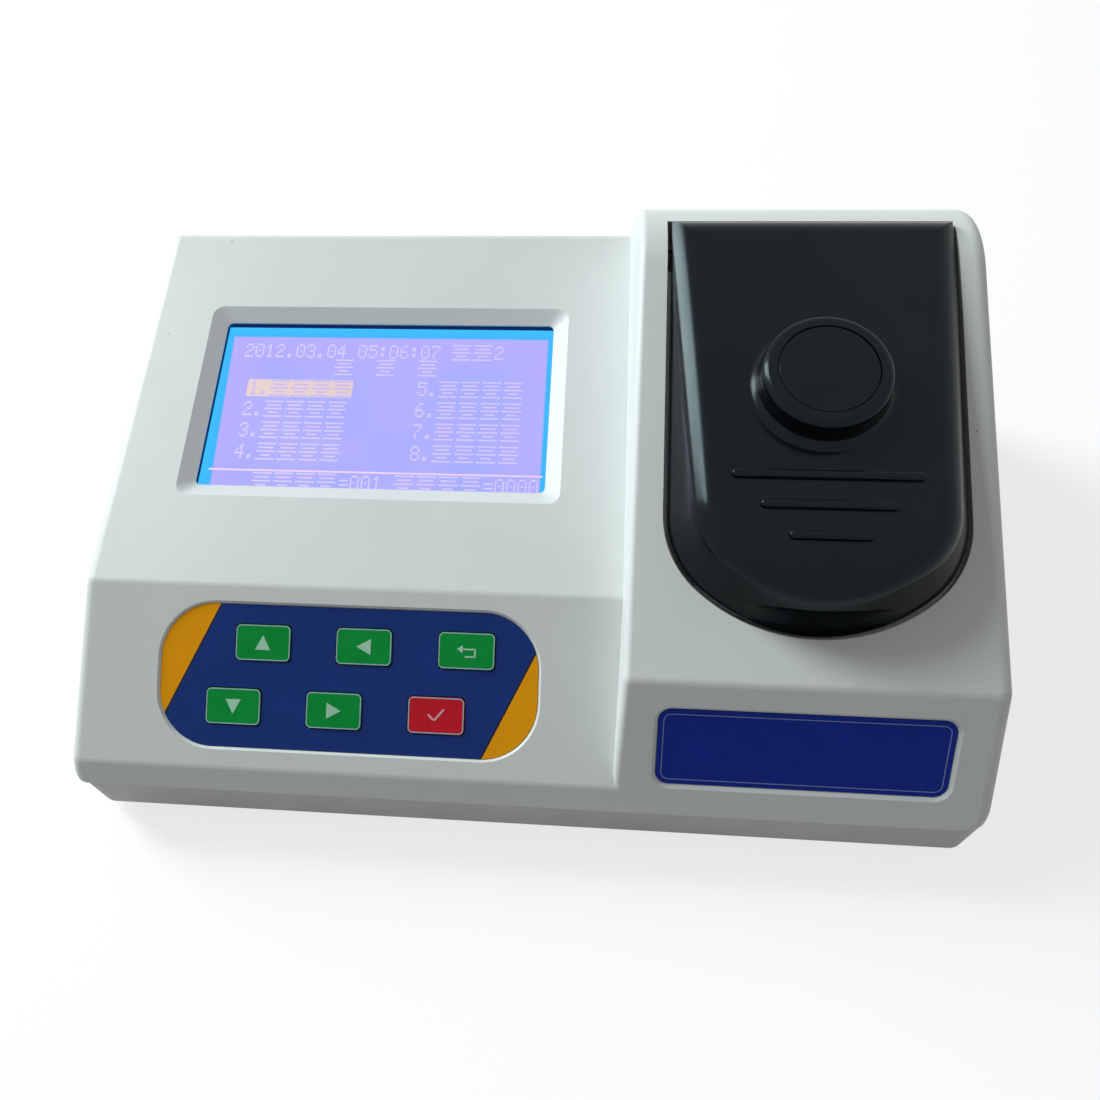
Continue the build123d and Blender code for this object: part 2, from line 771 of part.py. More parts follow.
with BuildPart() as top_housing:
    add(console_outer.part)
    add(tower_outer.part)
    add(cavity.part, mode=Mode.SUBTRACT)
    # Display opening: a bevelled frame above a short straight land
    with BuildSketch(display_plane.offset(-window_depth + window_land)) as bevel_foot:
        RectangleRounded(window_width, window_height, window_corner_radius)
    with BuildSketch(display_plane) as bevel_mouth:
        RectangleRounded(
            window_width + 2 * window_bevel, window_height + 2 * window_bevel, 2 * window_corner_radius
        )
    loft([bevel_foot.sketch, bevel_mouth.sketch], mode=Mode.SUBTRACT)
    slab(
        display_plane,
        -window_depth,
        -window_depth + window_land,
        window_width,
        window_height,
        window_corner_radius,
        Mode.SUBTRACT,
    )
    rods(
        display_plane,
        display_posts,
        display_board_top,
        display_board_top + small_screw_grip,
        small_screw_radius,
        Mode.SUBTRACT,
    )
    # Keypad recess, key holes and board posts
    bevelled_recess(keypad_plane, keypad_recess, keypad_bevel, keypad_width, keypad_height, keypad_radius)
    for name in key_rows:
        with BuildSketch(keypad_plane.offset(keypad_floor_under)) as hole:
            with Locations(key_centre(name)):
                RectangleRounded(key_width + 2 * key_gap, key_height + 2 * key_gap, key_corner_radius)
        extrude(hole.sketch, amount=keypad_floor, mode=Mode.SUBTRACT)
    rods(
        keypad_plane,
        keypad_posts,
        keypad_board_top,
        keypad_board_top + keypad_screw_grip,
        small_screw_radius,
        Mode.SUBTRACT,
    )
    # Nameplate recess
    bevelled_recess(
        nameplate_plane,
        nameplate_recess,
        nameplate_bevel,
        nameplate_width,
        nameplate_height,
        nameplate_radius,
    )
    # Lid recess, hinge trough and pin holes
    extrude(
        outline_of_lid(deck_plane.offset(-lid_recess), recess_reach, lid_straight),
        amount=outside,
        mode=Mode.SUBTRACT,
    )
    add(hinge_section(barrel_radius + barrel_gap, outside, recess_reach), mode=Mode.SUBTRACT)
    add(hinge_section(hinge_pin_radius, 0, recess_reach + ear_thickness), mode=Mode.SUBTRACT)
    # Opening for the cuvette holder and its screw holes
    with BuildSketch(Plane.XY.offset(holder_bottom_z)) as shaft:
        with Locations((lid_x, well_y)):
            RectangleRounded(
                holder_width + 2 * holder_fit, holder_depth + 2 * holder_fit, holder_corner_radius
            )
    extrude(shaft.sketch, amount=overall_depth, mode=Mode.SUBTRACT)
    rods(
        deck_plane,
        flange_screws,
        -lid_recess - small_screw_grip,
        0,
        small_screw_radius,
        Mode.SUBTRACT,
    )
    # Rear pocket for the connector panel
    slab(rear_plane, -panel_pocket_depth, outside, panel_width, panel_height, pocket_radius, Mode.SUBTRACT)
    slab(
        rear_plane,
        -panel_pocket_depth - 2 * pocket_wall,
        0,
        panel_width - 2 * panel_ledge,
        panel_height - 2 * panel_ledge,
        pocket_radius,
        Mode.SUBTRACT,
    )
    rods(
        rear_plane,
        panel_screws,
        -panel_pocket_depth - 2 * pocket_wall,
        0,
        small_screw_radius,
        Mode.SUBTRACT,
    )
    # Screw pilots in the columns
    rods(
        Plane.XY,
        column_places,
        parting_z - wall,
        parting_z + housing_screw_grip,
        housing_screw_radius,
        Mode.SUBTRACT,
    )
place_part(top_housing.part, "top_housing")


# Base shell: a tapered tray with a locating lip, screw tubes and board standoffs
def base_outline(inset):
    """Outline of the base at the parting line, moved inwards."""
    with BuildSketch(Plane.XY.offset(parting_z)) as outline:
        RectangleRounded(
            overall_width - 2 * inset, overall_depth - 2 * inset, base_corner_radius - inset / 2
        )
    return outline.sketch


floor_top = foot_height + wall
board_underside = floor_top + main_board_lift
board_upper = board_underside + board_thickness
main_holes = [
    (main_board_x + x, main_board_y + y)
    for x, y in corner_places(main_board_width - 2 * main_hole_inset, main_board_depth - 2 * main_hole_inset)
]
foot_places = corner_places(overall_width - 2 * foot_side_inset, overall_depth - 2 * foot_end_inset)
with BuildPart() as bottom_housing:
    extrude(base_outline(base_inset), amount=-base_height, taper=base_draft)
    fillet(bottom_housing.faces().sort_by(Axis.Z)[0].edges(), base_edge_radius)
    extrude(base_outline(base_inset + wall), amount=wall - base_height, taper=base_draft, mode=Mode.SUBTRACT)
    with BuildSketch(Plane.XY.offset(parting_z - lip_height)) as lip:
        outer_lip = wall + lip_gap
        for inset, mode in ((outer_lip, Mode.ADD), (outer_lip + lip_thickness, Mode.SUBTRACT)):
            add(base_outline(inset), mode=mode)
        with Locations((0, -overall_depth / 2)):
            Rectangle(overall_width, 2 * lip_front_margin, mode=Mode.SUBTRACT)
    extrude(lip.sketch, amount=2 * lip_height)
    rods(Plane.XY, column_places, floor_top - wall / 2, parting_z, column_radius)
    rods(Plane.XY, main_holes, floor_top - wall / 2, board_underside, standoff_radius)
    rods(
        Plane.XY,
        main_holes,
        board_underside - small_screw_grip,
        board_underside,
        small_screw_radius,
        Mode.SUBTRACT,
    )
    rods(Plane.XY, column_places, 0, screw_head_seat, housing_screw_head_radius + lip_gap, Mode.SUBTRACT)
    rods(Plane.XY, column_places, 0, parting_z + wall, housing_screw_hole_radius, Mode.SUBTRACT)
    rods(Plane.XY, foot_places, 0, foot_height + foot_recess, foot_radius, Mode.SUBTRACT)
place_part(bottom_housing.part, "bottom_housing")

with BuildPart() as rubber_feet:
    rods(Plane.XY, foot_places, 0, foot_height + foot_recess, foot_radius)
    fillet(rubber_feet.faces().sort_by(Axis.Z)[0:4].edges(), foot_edge_radius)
place_part(rubber_feet.part, "rubber_feet")

with BuildPart() as housing_screws:
    screw_end = parting_z + housing_screw_grip - lip_gap
    rods(Plane.XY, column_places, screw_head_seat, screw_end, housing_screw_radius)
    rods(
        Plane.XY,
        column_places,
        screw_head_seat - housing_screw_head_height,
        screw_head_seat,
        housing_screw_head_radius,
    )
place_part(housing_screws.part, "housing_screws")

# Display module behind its opening
with BuildPart() as display_frame:
    slab(display_plane, display_board_top, -window_depth, display_frame_width, display_frame_height)
    slab(
        display_plane,
        display_board_top,
        -window_depth - display_frame_wall,
        display_frame_width - 2 * display_frame_wall,
        display_frame_height - 2 * display_frame_wall,
        mode=Mode.SUBTRACT,
    )
    slab(
        display_plane,
        -window_depth - display_frame_wall,
        -window_depth,
        window_width + 2 * display_frame_wall,
        window_height + 2 * display_frame_wall,
        mode=Mode.SUBTRACT,
    )
place_part(display_frame.part, "display_frame")

glass_top = -window_depth - display_frame_wall
glass_back = glass_top - display_glass_thickness
display_inner = (
    display_frame_width - 2 * display_frame_wall - 2 * panel_fit,
    display_frame_height - 2 * display_frame_wall - 2 * panel_fit,
)
with BuildPart() as display_glass:
    slab(display_plane, glass_back, glass_top, *display_inner)
place_part(display_glass.part, "display_glass")

with BuildPart() as display_light_guide:
    slab(display_plane, display_board_top, glass_back, *display_inner)
place_part(display_light_guide.part, "display_light_guide")

with BuildPart() as display_board:
    slab(
        display_plane,
        display_board_top - board_thickness,
        display_board_top,
        display_board_width,
        display_board_height,
    )
    rods(
        display_plane,
        display_posts,
        display_board_top - board_thickness,
        display_board_top,
        board_hole_radius,
        Mode.SUBTRACT,
    )
place_part(display_board.part, "display_board")


def board_screws(name, plane, places, board_top, grip):
    """Pan-head screws through a board that hangs under its posts."""
    under = board_top - board_thickness
    with BuildPart() as screws:
        rods(plane, places, under, under + grip, small_screw_radius)
        rods(plane, places, under - small_screw_head_height, under, small_screw_head_radius)
    place_part(screws.part, name)


board_screws("display_screws", display_plane, display_posts, display_board_top, small_screw_grip)
board_screws("keypad_screws", keypad_plane, keypad_posts, keypad_board_top, keypad_screw_grip)

# Keypad: printed sheet, six keys, domes and their board
with BuildPart() as keypad_sheet:
    slab(
        keypad_plane,
        -keypad_recess,
        -keypad_recess + keypad_sheet_thickness,
        keypad_width - 2 * sheet_fit,
        keypad_height - 2 * sheet_fit,
        keypad_radius - sheet_fit,
    )
    for name in key_rows:
        with BuildSketch(keypad_plane.offset(-keypad_recess)) as hole:
            with Locations(key_centre(name)):
                RectangleRounded(key_width + 2 * key_gap, key_height + 2 * key_gap, key_corner_radius)
        extrude(hole.sketch, amount=keypad_sheet_thickness, mode=Mode.SUBTRACT)
place_part(keypad_sheet.part, "keypad_sheet")

key_top = -keypad_recess + keypad_sheet_thickness + key_proud
for name in key_rows:
    centre = key_centre(name)
    with BuildPart() as key:
        with BuildSketch(keypad_plane.offset(key_flange_top - key_flange_thickness)) as flange:
            with Locations(centre):
                RectangleRounded(
                    key_width + 2 * key_gap + 2 * key_flange,
                    key_height + 2 * key_gap + 2 * key_flange,
                    key_corner_radius,
                )
        extrude(flange.sketch, amount=key_flange_thickness)
        with BuildSketch(keypad_plane.offset(key_flange_top)) as cap:
            with Locations(centre):
                RectangleRounded(key_width, key_height, key_corner_radius)
        extrude(cap.sketch, amount=key_top - key_flange_top)
        fillet(edges_at(key.part, keypad_plane, key_top), key_edge_radius)
    place_part(key.part, name)

with BuildPart() as key_domes:
    for name in key_rows:
        with BuildSketch(keypad_plane.offset(keypad_board_top)) as dome:
            with Locations(key_centre(name)):
                Circle(dome_radius)
        extrude(dome.sketch, amount=dome_height, taper=dome_taper)
place_part(key_domes.part, "key_domes")

with BuildPart() as keypad_board:
    slab(
        keypad_plane,
        keypad_board_top - board_thickness,
        keypad_board_top,
        keypad_board_width,
        keypad_board_height,
    )
    rods(
        keypad_plane,
        keypad_posts,
        keypad_board_top - board_thickness,
        keypad_board_top,
        board_hole_radius,
        Mode.SUBTRACT,
    )
place_part(keypad_board.part, "keypad_board")

with BuildPart() as nameplate:
    slab(
        nameplate_plane,
        -nameplate_recess,
        -nameplate_recess + nameplate_thickness,
        nameplate_width - 2 * sheet_fit,
        nameplate_height - 2 * sheet_fit,
        nameplate_radius - sheet_fit,
    )
place_part(nameplate.part, "nameplate")

# Lid: tapered bonnet, hinge barrel, knob, grip ribs and finger scallop
scallop_reach = scallop_stand_off / math.cos(lean) - scallop_height * math.tan(lean)
scallop_centre = scallop_sweep - lid_front - scallop_reach
scallop_plane = Plane(
    origin=deck_plane.from_local_coords((0, scallop_centre, scallop_height)),
    x_dir=(1, 0, 0),
    z_dir=deck_plane.z_dir,
)
with BuildPart() as lid_barrel:
    add(hinge_section(barrel_radius, 0, lid_half_width))
    split(bisect_by=deck_plane.offset(-lid_skirt), keep=Keep.BOTTOM)

with BuildPart() as lid_rear:
    with BuildSketch(lid_side_plane.offset(-overall_width)) as side:
        with Locations((0, -barrel_radius)):
            Circle(barrel_radius)
            Rectangle(overall_depth, 2 * barrel_radius, align=(Align.MAX, Align.CENTER))
        with Locations((barrel_radius, -barrel_radius)):
            Rectangle(overall_depth, overall_depth, align=(Align.MAX, Align.MAX))
    extrude(side.sketch, amount=2 * overall_width)

with BuildPart() as lid_hollow:
    add(lid_form(lid_wall, -barrel_radius - lid_wall))
    with Locations(scallop_plane):
        Torus(scallop_sweep, scallop_radius + lid_wall, mode=Mode.SUBTRACT)

knob_place = [(0, -knob_from_hinge)]
with BuildPart() as lid_shell:
    add(lid_form(0, outside))
    add(lid_rear.part, mode=Mode.INTERSECT)
    split(bisect_by=deck_plane.offset(-lid_skirt), keep=Keep.TOP)
    with Locations(scallop_plane):
        Torus(scallop_sweep, scallop_radius, mode=Mode.SUBTRACT)
    add(lid_barrel.part)
    rods(lid_top_plane, knob_place, -lid_wall / 2, knob_height, knob_radius)
    fillet(edges_at(lid_shell.part, lid_top_plane, knob_height), knob_rim_radius)
    knob_foot = edges_at(lid_shell.part, lid_top_plane, 0).filter_by(GeomType.CIRCLE)
    fillet(knob_foot, knob_base_radius)
    for index, length in enumerate(rib_lengths):
        rib_y = -knob_from_hinge - rib_from_knob - index * rib_pitch
        with BuildSketch(lid_top_plane.offset(-lid_wall / 2)) as rib:
            with Locations((0, rib_y)):
                SlotOverall(length, rib_width)
        extrude(rib.sketch, amount=lid_wall / 2 + rib_height)
    fillet(edges_at(lid_shell.part, lid_top_plane, rib_height), rib_edge_radius)
    add(lid_hollow.part, mode=Mode.SUBTRACT)
    knob_ceiling = knob_height - knob_cap_thickness - lid_wall
    rods(lid_top_plane, knob_place, -2 * lid_wall, knob_ceiling, knob_hollow_radius, Mode.SUBTRACT)
    rods(
        lid_top_plane, knob_place, knob_height - knob_cap_thickness, outside, knob_cap_radius, Mode.SUBTRACT
    )
    for side in (-1, 1):
        with BuildSketch(hinge_plane.offset(side * lid_half_width)) as bore:
            Circle(hinge_pin_radius + hinge_running_gap)
        extrude(bore.sketch, amount=-side * (hinge_pin_in_lid + lid_gap), mode=Mode.SUBTRACT)
place_part(lid_shell.part, "lid_shell")

with BuildPart() as knob_cap:
    rods(
        lid_top_plane,
        [(0, -knob_from_hinge)],
        knob_height - knob_cap_thickness,
        knob_height - knob_cap_sink,
        knob_cap_radius - knob_cap_fit,
    )
    fillet(edges_at(knob_cap.part, lid_top_plane, knob_height - knob_cap_sink), knob_cap_edge)
place_part(knob_cap.part, "knob_cap")

with BuildPart() as hinge_pins:
    for side in (-1, 1):
        with BuildSketch(hinge_plane.offset(side * (lid_half_width - hinge_pin_in_lid))) as pin:
            Circle(hinge_pin_radius)
        extrude(pin.sketch, amount=side * (lid_gap + ear_thickness + hinge_pin_in_lid))
place_part(hinge_pins.part, "hinge_pins")

with BuildPart() as lid_seal:
    seal_end = lid_straight - 2 * barrel_radius
    seal_plane = deck_plane.offset(-lid_recess)
    for reach, mode in ((lid_half_width, Mode.ADD), (lid_half_width - lid_seal_width, Mode.SUBTRACT)):
        extrude(outline_of_lid(seal_plane, reach, seal_end), amount=lid_seal_thickness, mode=mode)
place_part(lid_seal.part, "lid_seal")

# Cuvette holder with its well, optics and two small boards
beam_plane = Plane(origin=(lid_x, well_y, light_path_z), x_dir=(0, 1, 0), z_dir=(1, 0, 0))
half_holder = holder_width / 2
with BuildPart() as cuvette_holder:
    with BuildSketch(Plane.XY.offset(holder_bottom_z)) as shaft:
        with Locations((lid_x, well_y)):
            RectangleRounded(holder_width, holder_depth, holder_corner_radius)
    extrude(shaft.sketch, amount=overall_depth)
    split(bisect_by=deck_plane.offset(flange_top), keep=Keep.BOTTOM)
    with BuildSketch(deck_plane.offset(-lid_recess)) as flange:
        with Locations((0, well_on_deck)):
            RectangleRounded(flange_width, flange_length, holder_corner_radius)
    extrude(flange.sketch, amount=flange_thickness)
    rods(Plane.XY, [(lid_x, well_y)], well_floor_z, overall_depth, well_radius, Mode.SUBTRACT)
    rods(Plane.XY, [(lid_x, well_y)], landing_z, overall_depth, landing_radius, Mode.SUBTRACT)
    rods(deck_plane, flange_screws, -lid_recess, outside, board_hole_radius, Mode.SUBTRACT)
    rods(beam_plane, [(0, 0)], -half_holder, half_holder, aperture_radius, Mode.SUBTRACT)
    for low, high in (
        (-half_holder, -well_radius - aperture_length),
        (well_radius + aperture_length, half_holder),
    ):
        rods(beam_plane, [(0, 0)], low, high, optic_radius + optic_fit, Mode.SUBTRACT)
    boss_places = corner_places(optic_boss_spacing, optic_boss_spacing)
    rods(beam_plane, boss_places, -half_holder - holder_boss, -half_holder, optic_boss_radius)
    rods(beam_plane, boss_places, half_holder, half_holder + holder_boss, optic_boss_radius)
    for side in (-1, 1):
        seat = side * (half_holder + holder_boss)
        rods(beam_plane, boss_places, seat - side * optic_screw_grip, seat, optic_screw_radius, Mode.SUBTRACT)
place_part(cuvette_holder.part, "cuvette_holder")

with BuildPart() as holder_screws:
    pan_screws(
        deck_plane,
        flange_screws,
        flange_top,
        small_screw_grip,
        small_screw_radius,
        small_screw_head_radius,
        small_screw_head_height,
    )
place_part(holder_screws.part, "holder_screws")

lens_face = well_radius + aperture_length
board_face = half_holder + holder_boss
with BuildPart() as collimating_lens:
    rods(beam_plane, [(0, 0)], -lens_face - lens_thickness, -lens_face, optic_radius)
    fillet(edges_at(collimating_lens.part, beam_plane, -lens_face - lens_thickness), lens_edge_radius)
place_part(collimating_lens.part, "collimating_lens")

with BuildPart() as optical_filter:
    rods(beam_plane, [(0, 0)], lens_face, lens_face + filter_thickness, optic_radius)
place_part(optical_filter.part, "optical_filter")

with BuildPart() as light_source:
    rods(beam_plane, [(0, 0)], -board_face, -board_face + led_length, led_radius)
    fillet(edges_at(light_source.part, beam_plane, -board_face + led_length), led_dome_radius)
place_part(light_source.part, "light_source")

with BuildPart() as light_sensor:
    rods(beam_plane, [(0, 0)], board_face - sensor_length, board_face, sensor_radius)
place_part(light_sensor.part, "light_sensor")

for name, low in (("light_board", -board_face - board_thickness), ("sensor_board", board_face)):
    with BuildPart() as optic_board:
        slab(beam_plane, low, low + board_thickness, optic_board_size, optic_board_size)
        rods(beam_plane, boss_places, low, low + board_thickness, optic_screw_radius, Mode.SUBTRACT)
    place_part(optic_board.part, name)

board_outside = board_face + board_thickness
with BuildPart() as optic_board_screws:
    for side in (-1, 1):
        seat = side * board_outside
        rods(beam_plane, boss_places, seat - side * optic_screw_grip, seat, optic_screw_radius)
        rods(beam_plane, boss_places, seat, seat + side * optic_screw_head_height, optic_screw_head_radius)
place_part(optic_board_screws.part, "optic_board_screws")

# Rear connector panel and what it carries
panel_back = -panel_pocket_depth
panel_front = panel_back + panel_thickness


def rear_block(place, low, high, width, height, radius=0.0, mode=Mode.ADD):
    """Block between two heights over the rear plane, centred on a place of the panel."""
    with BuildSketch(rear_plane.offset(low)) as outline:
        with Locations(place):
            if radius:
                RectangleRounded(width, height, radius)
            else:
                Rectangle(width, height)
    extrude(outline.sketch, amount=high - low, mode=mode)


switch_place = (switch_x, 0)
jack_place = (jack_x, 0)
port_place = (port_x, 0)
port_screw_places = [(port_x + side * port_screw_spacing / 2, 0) for side in (-1, 1)]
with BuildPart() as rear_panel:
    rear_block(
        (0, 0),
        panel_back,
        panel_front,
        panel_width - 2 * panel_fit,
        panel_height - 2 * panel_fit,
        pocket_radius,
    )
    for place, width, height in (
        (switch_place, switch_body_width, switch_body_height),
        (port_place, port_body_width, port_body_height),
    ):
        rear_block(
            place,
            panel_back,
            panel_front,
            width + 2 * panel_fit,
            height + 2 * panel_fit,
            mode=Mode.SUBTRACT,
        )
    rods(rear_plane, [jack_place], panel_back, panel_front, jack_radius + panel_fit, Mode.SUBTRACT)
    rods(rear_plane, port_screw_places, panel_back, panel_front, port_screw_radius + panel_fit, Mode.SUBTRACT)
    rods(rear_plane, panel_screws, panel_back, panel_front, board_hole_radius, Mode.SUBTRACT)
place_part(rear_panel.part, "rear_panel")

with BuildPart() as panel_screw_set:
    pan_screws(
        rear_plane,
        panel_screws,
        panel_front,
        small_screw_grip,
        small_screw_radius,
        small_screw_head_radius,
        small_screw_head_height,
    )
place_part(panel_screw_set.part, "panel_screws")

# Power switch: a frame snapped into the panel and a rocker on two pins
switch_face = panel_front + switch_bezel
rocker_pivot = switch_face - switch_bezel
rocker_plane = Plane(
    origin=rear_plane.from_local_coords((switch_x, 0, rocker_pivot)), x_dir=rear_plane.y_dir, z_dir=(-1, 0, 0)
)
pocket_half_width = rocker_width / 2 + rocker_gap
with BuildPart() as power_switch_frame:
    rear_block(switch_place, panel_front, switch_face, switch_width, switch_height, pocket_radius)
    rear_block(
        switch_place, panel_front - switch_body_depth, panel_front, switch_body_width, switch_body_height
    )
    rear_block(
        switch_place,
        rocker_pivot - rocker_pocket_depth,
        switch_face,
        2 * pocket_half_width,
        2 * (rocker_half_length + rocker_end_gap),
        mode=Mode.SUBTRACT,
    )
    for side in (-1, 1):
        with BuildSketch(rocker_plane.offset(side * pocket_half_width)) as pin:
            Circle(rocker_pin_radius)
        extrude(pin.sketch, amount=-side * rocker_pin_length)
place_part(power_switch_frame.part, "power_switch_frame")

tilted_plane = Plane(
    origin=rocker_plane.origin,
    x_dir=rocker_plane.x_dir.rotate(Axis((0, 0, 0), (1, 0, 0)), rocker_tilt),
    z_dir=rocker_plane.z_dir,
)
with BuildPart() as power_switch_rocker:
    with BuildSketch(tilted_plane.offset(-rocker_width / 2)) as side_view:
        with BuildLine():
            Polyline(
                (-rocker_half_length, rocker_rise),
                (0, rocker_rise - rocker_dish),
                (rocker_half_length, rocker_rise),
                (rocker_foot, -rocker_depth),
                (-rocker_foot, -rocker_depth),
                close=True,
            )
        make_face()
        Circle(rocker_pin_radius + hinge_running_gap, mode=Mode.SUBTRACT)
    extrude(amount=rocker_width)
place_part(power_switch_rocker.part, "power_switch_rocker")

# Power jack with its nut
jack_front = panel_front + jack_length
with BuildPart() as dc_power_jack:
    rods(rear_plane, [jack_place], panel_back, jack_front, jack_radius)
    rear_block(jack_place, panel_back - jack_body_depth, panel_back, jack_body_size, jack_body_size)
    rods(rear_plane, [jack_place], jack_front - jack_bore_depth, jack_front, jack_bore_radius, Mode.SUBTRACT)
    rods(rear_plane, [jack_place], jack_front - jack_bore_depth, jack_front - jack_pin_sink, jack_pin_radius)
place_part(dc_power_jack.part, "dc_power_jack")

with BuildPart() as dc_jack_nut:
    with BuildSketch(rear_plane.offset(panel_front)) as nut:
        with Locations(jack_place):
            RegularPolygon(jack_nut_radius, 6)
            Circle(jack_radius, mode=Mode.SUBTRACT)
    extrude(amount=jack_nut_thickness)
place_part(dc_jack_nut.part, "dc_jack_nut")

# Serial port: a metal shell with a flange, an insert with nine contacts and two jackscrews
port_front = panel_front + port_flange_thickness + port_shell_depth
with BuildPart() as data_port_shell:
    rear_block(
        port_place,
        panel_front,
        panel_front + port_flange_thickness,
        port_flange_width,
        port_flange_height,
        port_flange_corner,
    )
    rear_block(port_place, panel_front, port_front, port_shell_width, port_shell_height, port_shell_corner)
    rear_block(
        port_place,
        panel_front,
        port_front,
        port_shell_width - 2 * port_shell_wall,
        port_shell_height - 2 * port_shell_wall,
        port_shell_corner - port_shell_wall,
        Mode.SUBTRACT,
    )
    rods(rear_plane, port_screw_places, panel_front, port_front, port_screw_radius, Mode.SUBTRACT)
place_part(data_port_shell.part, "data_port_shell")

with BuildPart() as data_port_insert:
    rear_block(port_place, panel_front - port_body_depth, panel_front, port_body_width, port_body_height)
    rear_block(
        port_place,
        panel_front,
        port_front - port_insert_sink,
        port_shell_width - 2 * port_shell_wall,
        port_shell_height - 2 * port_shell_wall,
        port_shell_corner - port_shell_wall,
    )
    for count, row in ((5, 1), (4, -1)):
        with BuildSketch(rear_plane.offset(panel_front)) as contacts:
            with Locations((port_x, row * port_contact_row / 2)):
                with GridLocations(port_contact_pitch, 1, count, 1):
                    Circle(port_contact_radius)
        extrude(contacts.sketch, amount=port_shell_depth, mode=Mode.SUBTRACT)
place_part(data_port_insert.part, "data_port_insert")

nut_seat = panel_front + port_flange_thickness
with BuildPart() as port_jackscrews:
    rods(rear_plane, port_screw_places, panel_front - port_screw_length, nut_seat, port_screw_radius)
    with BuildSketch(rear_plane.offset(nut_seat)) as nuts:
        with Locations(*port_screw_places):
            RegularPolygon(port_nut_radius, 6)
            Circle(port_screw_radius, mode=Mode.SUBTRACT)
    extrude(nuts.sketch, amount=port_nut_height)
    rods(rear_plane, port_screw_places, nut_seat, nut_seat + port_nut_height / 2, port_screw_radius)
place_part(port_jackscrews.part, "port_jackscrews")


# Main board and its components
def board_block(place, low, high, width, length, mode=Mode.ADD):
    """Block standing over the main board, centred on a place given from the board's middle."""
    with BuildSketch(Plane.XY.offset(low)) as outline:
        with Locations((main_board_x + place[0], main_board_y + place[1])):
            Rectangle(width, length)
    extrude(outline.sketch, amount=high - low, mode=mode)


with BuildPart() as main_circuit_board:
    board_block((0, 0), board_underside, board_upper, main_board_width, main_board_depth)
    rods(Plane.XY, main_holes, board_underside, board_upper, board_hole_radius, Mode.SUBTRACT)
place_part(main_circuit_board.part, "main_circuit_board")

with BuildPart() as main_board_screws:
    pan_screws(
        Plane.XY,
        main_holes,
        board_upper,
        small_screw_grip,
        small_screw_radius,
        small_screw_head_radius,
        small_screw_head_height,
    )
place_part(main_board_screws.part, "main_board_screws")

with BuildPart() as processor:
    board_block(processor_place, board_upper, board_upper + processor_height, processor_size, processor_size)
place_part(processor.part, "processor")

with BuildPart() as memory_chips:
    for side in (-1, 1):
        place = (memory_place[0] + side * memory_pitch / 2, memory_place[1])
        board_block(place, board_upper, board_upper + memory_height, memory_width, memory_length)
place_part(memory_chips.part, "memory_chips")

capacitor_places = [
    (main_board_x + capacitor_place[0] + index * capacitor_pitch, main_board_y + capacitor_place[1])
    for index in (-1, 0, 1)
]
with BuildPart() as capacitors:
    rods(Plane.XY, capacitor_places, board_upper, board_upper + capacitor_height, capacitor_radius)
    can_tops = capacitors.faces().filter_by(Axis.Z).group_by(Axis.Z)[-1].edges()
    fillet(can_tops, capacitor_edge_radius)
place_part(capacitors.part, "capacitors")

with BuildPart() as voltage_regulator:
    board_block(
        regulator_place, board_upper, board_upper + regulator_height, regulator_width, regulator_thickness
    )
    regulator_top = board_upper + regulator_height
    for index in (-1, 0, 1):
        fin_x = regulator_place[0] + index * regulator_width / 3
        fin_place = (fin_x, regulator_place[1] - regulator_thickness)
        board_block(fin_place, board_upper, regulator_top, regulator_fin, 2 * regulator_thickness)
place_part(voltage_regulator.part, "voltage_regulator")

with BuildPart() as buzzer:
    place = [(main_board_x + buzzer_place[0], main_board_y + buzzer_place[1])]
    rods(Plane.XY, place, board_upper, board_upper + buzzer_height, buzzer_radius)
    rods(
        Plane.XY,
        place,
        board_upper + buzzer_height / 2,
        board_upper + buzzer_height,
        buzzer_hole_radius,
        Mode.SUBTRACT,
    )
place_part(buzzer.part, "buzzer")

cell_place = [(main_board_x + coin_cell_place[0], main_board_y + coin_cell_place[1])]
cell_seat = board_upper + coin_holder_floor
with BuildPart() as coin_cell_holder:
    holder_top = cell_seat + coin_cell_thickness / 2
    rods(Plane.XY, cell_place, board_upper, holder_top, coin_cell_radius + coin_holder_wall)
    rods(Plane.XY, cell_place, cell_seat, cell_seat + coin_cell_thickness, coin_cell_radius, Mode.SUBTRACT)
place_part(coin_cell_holder.part, "coin_cell_holder")

with BuildPart() as coin_cell:
    rods(Plane.XY, cell_place, cell_seat, cell_seat + coin_cell_thickness, coin_cell_radius)
place_part(coin_cell.part, "coin_cell")

# Connectors, flat ribbons and round cables between the boards
display_socket = display_board_top - board_thickness - display_connector_height
keypad_socket = keypad_board_top - board_thickness - keypad_connector_height
with BuildPart() as ribbon_connectors:
    slab(
        display_plane,
        display_socket,
        display_board_top - board_thickness,
        display_ribbon_width + connector_margin,
        connector_depth,
    )
    slab(
        keypad_plane,
        keypad_socket,
        keypad_board_top - board_thickness,
        keypad_ribbon_width + connector_margin,
        connector_depth,
    )
place_part(ribbon_connectors.part, "ribbon_connectors")

